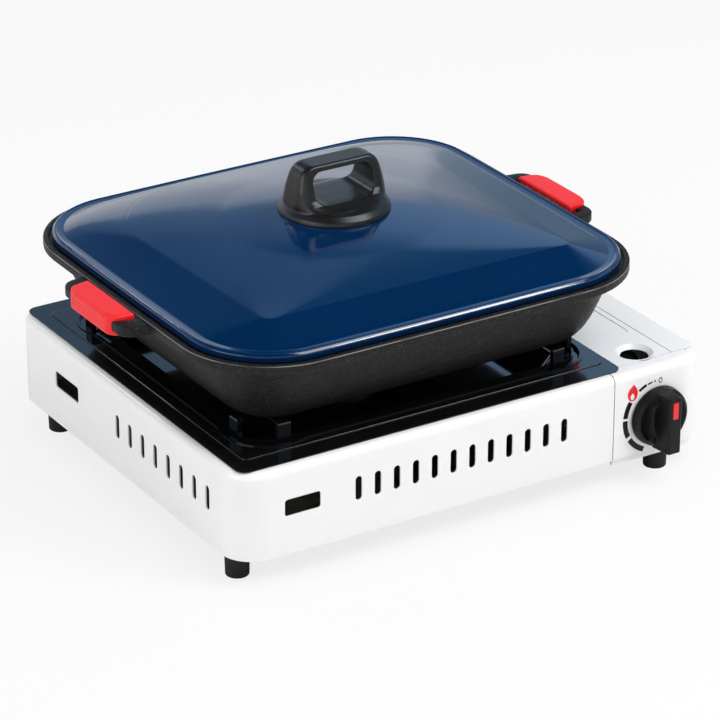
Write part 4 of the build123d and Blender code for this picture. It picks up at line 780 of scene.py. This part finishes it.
def dialTree():
    tree, given, result = newTree("dialBand", {
        "Radius": ("NodeSocketFloat", 0.02), "Width": ("NodeSocketFloat", 0.003),
        "Start": ("NodeSocketFloat", 0.0), "Sweep": ("NodeSocketFloat", 0.5)})
    ask = given.outputs
    arcSteps = 24
    outer = addNode(tree, "ShaderNodeMath", {"operation": "MULTIPLY"}, {0: ask["Width"], 1: 0.5})
    arc = addNode(tree, "GeometryNodeCurveArc", {"mode": "RADIUS"}, {
        "Resolution": arcSteps, "Radius": ask["Radius"], "Start Angle": ask["Start"],
        "Sweep Angle": ask["Sweep"]})
    below = addNode(tree, "ShaderNodeMath", {"operation": "MULTIPLY"},
                    {0: outer.outputs[0], 1: -1.0})
    first = addNode(tree, "ShaderNodeCombineXYZ", values={"X": outer.outputs[0]})
    last = addNode(tree, "ShaderNodeCombineXYZ", values={"X": below.outputs[0]})
    section = addNode(tree, "GeometryNodeCurvePrimitiveLine", {"mode": "POINTS"},
                      {"Start": first.outputs[0], "End": last.outputs[0]})
    band = addNode(tree, "GeometryNodeCurveToMesh",
                   values={"Curve": arc.outputs[0], "Profile Curve": section.outputs[0]})
    closeTree(tree, band.outputs[0], finishes["knob_black"], result)
    return tree


def flameOutline(x, z, width, height):
    # a drop with a leaning tip
    leastPlump, plumpPower = dial["plump"]
    points = []
    for step in range(dial["flameSteps"]):
        turn = 2 * math.pi * step / dial["flameSteps"]
        tall = -math.cos(turn)
        pinch = 1.0 if tall < 0 else (1 - tall) ** dial["pinch"] * (1 + dial["belly"] * tall)
        lean = dial["lean"] * width * max(0.0, tall) ** 2
        plump = max(leastPlump, abs(math.sin(turn)) ** plumpPower)
        points.append((x + (0.5 * width * math.sin(turn) * pinch / plump + lean),
                       z + 0.5 * height * tall))
    return points


def onPanel(outline, name, slot, lift):
    # a flat printed shape on the panel's front face, as thin raised ink
    back = [(x, dial["faceY"] + dial["sink"], z) for x, z in outline]
    front = [(x, dial["faceY"] - lift, z) for x, z in outline]
    finished(rawMesh(name, stacked([back, front])), "stove", slot, (), crease=30)


def makeBands():
    tree = dialTree()
    work = bmesh.new()
    for radius, width, start, end in dial["bands"]:
        band = grown("band", tree, [(0, 0, 0)], {
            "Radius": radius * 0.001, "Width": width * 0.001,
            "Start": math.radians(start), "Sweep": math.radians(end - start)})
        work.from_mesh(band.data)
        bpy.data.objects.remove(band)
    made = bmesh.ops.extrude_face_region(work, geom=list(work.faces))
    for item in made["geom"]:
        if isinstance(item, bmesh.types.BMVert):
            item.co.z += (dial["lift"] + dial["sink"]) * 0.001
    mesh = bpy.data.meshes.new("dialBands")
    work.to_mesh(mesh)
    work.free()
    outward(mesh)
    stand = Matrix(((1, 0, 0), (0, 0, -1), (0, 1, 0))).to_4x4()
    foot = Matrix.Translation(spot(knob["x"], dial["faceY"] + dial["sink"], knob["z"]))
    mesh.transform(foot @ stand)
    finished(placed("dialBands", mesh), "stove", "knob_black", (), crease=30)


def makeFlame(flame):
    # a printed drop with a white one inside it
    x, z, width, height = flame["box"]
    shiftX, shiftZ, narrow, short = flame["heart"]
    drop = flameOutline(x, z, width, height)
    onPanel(drop, flame["name"], flame["slot"], dial["lift"])
    heart = flameOutline(x + shiftX, z + shiftZ, width * narrow, height * short)
    onPanel(heart, flame["heartName"], "white_moulding", dial["lift"] * dial["heartLift"])


makeBands()
for flame in dial["flames"]:
    makeFlame(flame)
print("dial")

# ---- screws under the stove
screws = {"radius": 2.9, "height": 1.8, "edge": 0.8, "shank": 1.5, "recess": (3.4, 0.75, 1.1),
          "shellScrews": {"replaces": "shell_screws", "seat": 20.0, "length": 3.0,
                          "places": [(x, side * 155.0) for x in (-130.0, -30.0, 80.0)
                                     for side in (-1, 1)] + [(-186.0, -70.0), (-186.0, 70.0)]},
          "panelScrews": {"replaces": "panel_screws", "seat": 20.0, "length": 9.0,
                          "places": [(x, side * 149.0) for x in (126.0, 177.0)
                                     for side in (-1, 1)] + [(142.0, -121.0), (153.0, -121.0)]},
          "cradleScrews": {"replaces": "cradle_screws", "seat": 12.5, "length": 6.0,
                           "places": [(153.0 + side * 17.0, y) for y in (-58.0, 72.0)
                                      for side in (-1, 1)]}}


def screwTree():
    # a pan head turned round its axis, a cross cut into it, and a shank, set on every point
    tree, given, result = newTree("screw", {
        "Radius": ("NodeSocketFloat", 0.0029), "Height": ("NodeSocketFloat", 0.0018),
        "Edge": ("NodeSocketFloat", 0.0008), "Shank": ("NodeSocketFloat", 0.0015),
        "Length": ("NodeSocketFloat", 0.003),
        "Cross": ("NodeSocketVector", (0.0034, 0.00075, 0.0011))})
    ask = given.outputs
    headSides, shankSides, axisRadius, weldDistance = 32, 24, 0.00001, 0.00003

    def maths(operation, first, second):
        return addNode(tree, "ShaderNodeMath", {"operation": operation},
                       {0: first, 1: second}).outputs[0]

    def at(x, y):
        return addNode(tree, "ShaderNodeCombineXYZ", values={"X": x, "Y": y}).outputs[0]

    track = addNode(tree, "GeometryNodeCurvePrimitiveCircle", {"mode": "RADIUS"},
                    {"Resolution": headSides, "Radius": axisRadius})
    shoulder = maths("SUBTRACT", ask["Radius"], ask["Edge"])
    low = maths("MULTIPLY", ask["Height"], -1.0)
    kerb = maths("ADD", low, ask["Edge"])
    sides = [addNode(tree, "GeometryNodeCurvePrimitiveLine", {"mode": "POINTS"},
                     {"Start": start, "End": end}).outputs[0]
             for start, end in ((at(0.0, 0.0), at(ask["Radius"], 0.0)),
                                (at(ask["Radius"], 0.0), at(ask["Radius"], kerb)),
                                (at(ask["Radius"], kerb), at(shoulder, low)),
                                (at(shoulder, low), at(0.0, low)))]
    skins = addNode(tree, "GeometryNodeJoinGeometry")
    for side in sides:
        turned = addNode(tree, "GeometryNodeCurveToMesh",
                         values={"Curve": track.outputs[0], "Profile Curve": side})
        tree.links.new(turned.outputs[0], skins.inputs[0])
    head = addNode(tree, "GeometryNodeMergeByDistance",
                   values={"Geometry": skins.outputs[0], "Distance": weldDistance})
    parts = addNode(tree, "ShaderNodeSeparateXYZ", values={"Vector": ask["Cross"]})
    headTop = addNode(tree, "ShaderNodeCombineXYZ", values={"Z": low}).outputs[0]
    cut = addNode(tree, "GeometryNodeMeshBoolean", {"operation": "DIFFERENCE"},
                  {"Mesh 1": head.outputs[0]})
    deep = maths("MULTIPLY", parts.outputs[2], 2.0)
    for first, second in ((0, 1), (1, 0)):
        size = addNode(tree, "ShaderNodeCombineXYZ",
                       values={"X": parts.outputs[first], "Y": parts.outputs[second],
                               "Z": deep}).outputs[0]
        bar = addNode(tree, "GeometryNodeMeshCube", values={"Size": size})
        moved = addNode(tree, "GeometryNodeTransform",
                        values={"Geometry": bar.outputs[0], "Translation": headTop})
        tree.links.new(moved.outputs[0], cut.inputs["Mesh 2"])
    shaft = addNode(tree, "GeometryNodeMeshCylinder",
                    values={"Vertices": shankSides, "Radius": ask["Shank"], "Depth": ask["Length"]})
    half = maths("MULTIPLY", ask["Length"], 0.5)
    shaftMiddle = addNode(tree, "ShaderNodeCombineXYZ", values={"Z": half}).outputs[0]
    raised = addNode(tree, "GeometryNodeTransform",
                     values={"Geometry": shaft.outputs[0], "Translation": shaftMiddle})
    whole = addNode(tree, "GeometryNodeJoinGeometry")
    for part in (cut.outputs[0], raised.outputs[0]):
        tree.links.new(part, whole.inputs[0])
    spread = addNode(tree, "GeometryNodeInstanceOnPoints",
                     values={"Points": ask["Geometry"], "Instance": whole.outputs[0]})
    closeTree(tree, spread.outputs[0], finishes["steel"], result)
    return tree


def makeScrews():
    tree = screwTree()
    for name in ("shellScrews", "panelScrews", "cradleScrews"):
        row = screws[name]
        points = [spot(x, y, row["seat"]) for x, y in row["places"]]
        piece = grown(name, tree, points, {
            "Radius": screws["radius"] * 0.001, "Height": screws["height"] * 0.001,
            "Edge": screws["edge"] * 0.001, "Shank": screws["shank"] * 0.001,
            "Length": row["length"] * 0.001,
            "Cross": [part * 0.001 for part in screws["recess"]]})
        outward(piece.data)
        finished(piece, "stove", "steel", [row["replaces"]], crease=30)


makeScrews()
print("screws")

# ---- camera, its clip distances in metres
camera = {"place": (-1285.9, -2084.9, 1208.7), "azimuth": -31.7, "elevation": 25.1,
          "lens": 188.2, "sensor": 36.0, "clip": (0.05, 60)}


def makeCamera():
    eye = bpy.data.cameras.new("camera")
    eye.sensor_width, eye.sensor_fit, eye.lens = camera["sensor"], "HORIZONTAL", camera["lens"]
    eye.clip_start, eye.clip_end = camera["clip"]
    turn, lift = math.radians(camera["azimuth"]), math.radians(camera["elevation"])
    back = Vector((math.sin(turn) * math.cos(lift), -math.cos(turn) * math.cos(lift),
                   math.sin(lift)))
    right = Vector((math.cos(turn), math.sin(turn), 0))
    aim = Matrix((right, back.cross(right), back)).transposed().to_4x4()
    stand = placed("camera", eye)
    stand.matrix_world = Matrix.Translation(spot(*camera["place"])) @ aim
    bpy.context.scene.camera = stand


makeCamera()

# ---- light and floor: floorHalf in metres; a lamp has its place, two sides in metres and watts
studio = {"ambient": 0.76, "floorTone": 0.80, "floorGlow": 0.80, "floorWhite": 0.985,
          "floorHalf": 6, "aim": (0, 0, 90),
          "mirror": ((0.0, (0.82, 0.88, 0.94)), (0.08, (1.0, 1.04, 1.08)),
                     (0.20, (1.05, 1.08, 1.12)), (0.325, (0.78, 0.87, 0.98)),
                     (0.355, (0.32, 0.52, 0.78)), (0.50, (0.28, 0.48, 0.74)),
                     (0.60, (0.08, 0.18, 0.29)), (0.66, (0.04, 0.12, 0.22)),
                     (0.77, (0.0, 0.01, 0.02))),
          "leastAhead": 0.05,
          "dim": (0.18, 0.27, 0.33), "dimFrom": (0.70, 0.86), "dimTop": (0.30, 0.36),
          "rise": 0.55, "riseMiddle": 0.6, "riseFrom": (0.48, 0.68), "riseLow": (0.34, 0.37),
          "lamps": {"topBox": ((600, -860, 1640), 1.2, 0.85, 18.0),
                    "leftBox": ((-1900, -300, 900), 1.4, 1.2, 13.0),
                    "rimBox": ((1047, -1320, 1500), 0.42, 0.36, 8.0),
                    "backBox": ((-660, 1690, 1330), 0.22, 0.18, 2.6)}}


def makeWorld():
    # white for the camera, a graded room for shiny surfaces, plain light for the rest
    world = bpy.data.worlds.new("studio")
    bpy.context.scene.world = world
    world.use_nodes = True
    tree = world.node_tree
    tree.nodes.clear()
    path = addNode(tree, "ShaderNodeLightPath").outputs
    place = addNode(tree, "ShaderNodeTexCoord").outputs["Generated"]
    split = addNode(tree, "ShaderNodeSeparateXYZ", values={0: place})
    across, ahead, height = [Amount(tree, split.outputs[letter]) for letter in "XYZ"]
    ramp = addNode(tree, "ShaderNodeValToRGB", values={0: height})
    for stop, _ in studio["mirror"][2:]:
        ramp.color_ramp.elements.new(stop)
    for element, (stop, colour) in zip(ramp.color_ramp.elements, studio["mirror"]):
        element.position, element.color = stop, (*colour, 1)
    slope = across / ahead.maths("MAXIMUM", ahead, studio["leastAhead"])
    side = slope.between(*studio["dimFrom"]) * (1 - height.between(*studio["dimTop"]))
    room = addNode(tree, "ShaderNodeMix", {"data_type": "RGBA"},
                   {0: side, 6: ramp.outputs[0], 7: (*studio["dim"], 1)})
    rise = studio["rise"]
    change = slope.between(*studio["riseFrom"]) * rise - rise * studio["riseMiddle"]
    brightness = 1 + change * height.between(*studio["riseLow"])
    mirror = addNode(tree, "ShaderNodeBackground", values={0: room.outputs[2], 1: brightness})
    plain = addNode(tree, "ShaderNodeBackground", values={1: studio["ambient"]})
    white = addNode(tree, "ShaderNodeBackground", values={0: (*grey(studio["floorWhite"]), 1)})
    fullBounce = 0.9
    bounced = Amount(tree, path["Is Glossy Ray"]) + Amount(tree, path["Is Transmission Ray"])
    glossy = addNode(tree, "ShaderNodeMixShader", values={
        0: bounced.between(0.0, fullBounce), 1: plain.outputs[0], 2: mirror.outputs[0]})
    seen = addNode(tree, "ShaderNodeMixShader", values={
        0: path["Is Camera Ray"], 1: glossy.outputs[0], 2: white.outputs[0]})
    addNode(tree, "ShaderNodeOutputWorld", values={0: seen.outputs[0]})


def makeLamps():
    for name, (where, sizeX, sizeY, power) in studio["lamps"].items():
        lamp = bpy.data.lights.new(name, "AREA")
        lamp.shape, lamp.size, lamp.size_y, lamp.energy = "RECTANGLE", sizeX, sizeY, power
        holder = placed(name, lamp)
        holder.location = spot(*where)
        towards = spot(*studio["aim"]) - holder.location
        holder.rotation_euler = towards.to_track_quat("-Z", "Y").to_euler()


def makeFloor():
    half, gloss, shine = studio["floorHalf"], 0.8, 0.1
    mesh = bpy.data.meshes.new("floor")
    mesh.from_pydata([(-half, -half, 0), (half, -half, 0), (half, half, 0), (-half, half, 0)], [],
                     [(0, 1, 2, 3)])
    floor = placed("floor", mesh)
    finish = Finish("floorPaper", {"Base Color": (*grey(studio["floorTone"]), 1),
                                   "Roughness": gloss, "Specular IOR Level": shine})
    glow = finish.node("ShaderNodeEmission", values={"Color": (*grey(studio["floorWhite"]), 1)})
    seen = Amount(finish.tree, finish.node("ShaderNodeLightPath").outputs["Is Camera Ray"])
    both = finish.node("ShaderNodeMixShader", values={
        0: seen * studio["floorGlow"], 1: finish.skin.outputs[0], 2: glow.outputs[0]})
    finish.tree.links.new(both.outputs[0], finish.out.inputs[0])
    mesh.materials.append(finish.material)


makeWorld()
makeLamps()
makeFloor()
bpy.context.scene.view_settings.view_transform = "Standard"
print("light, floor and camera")
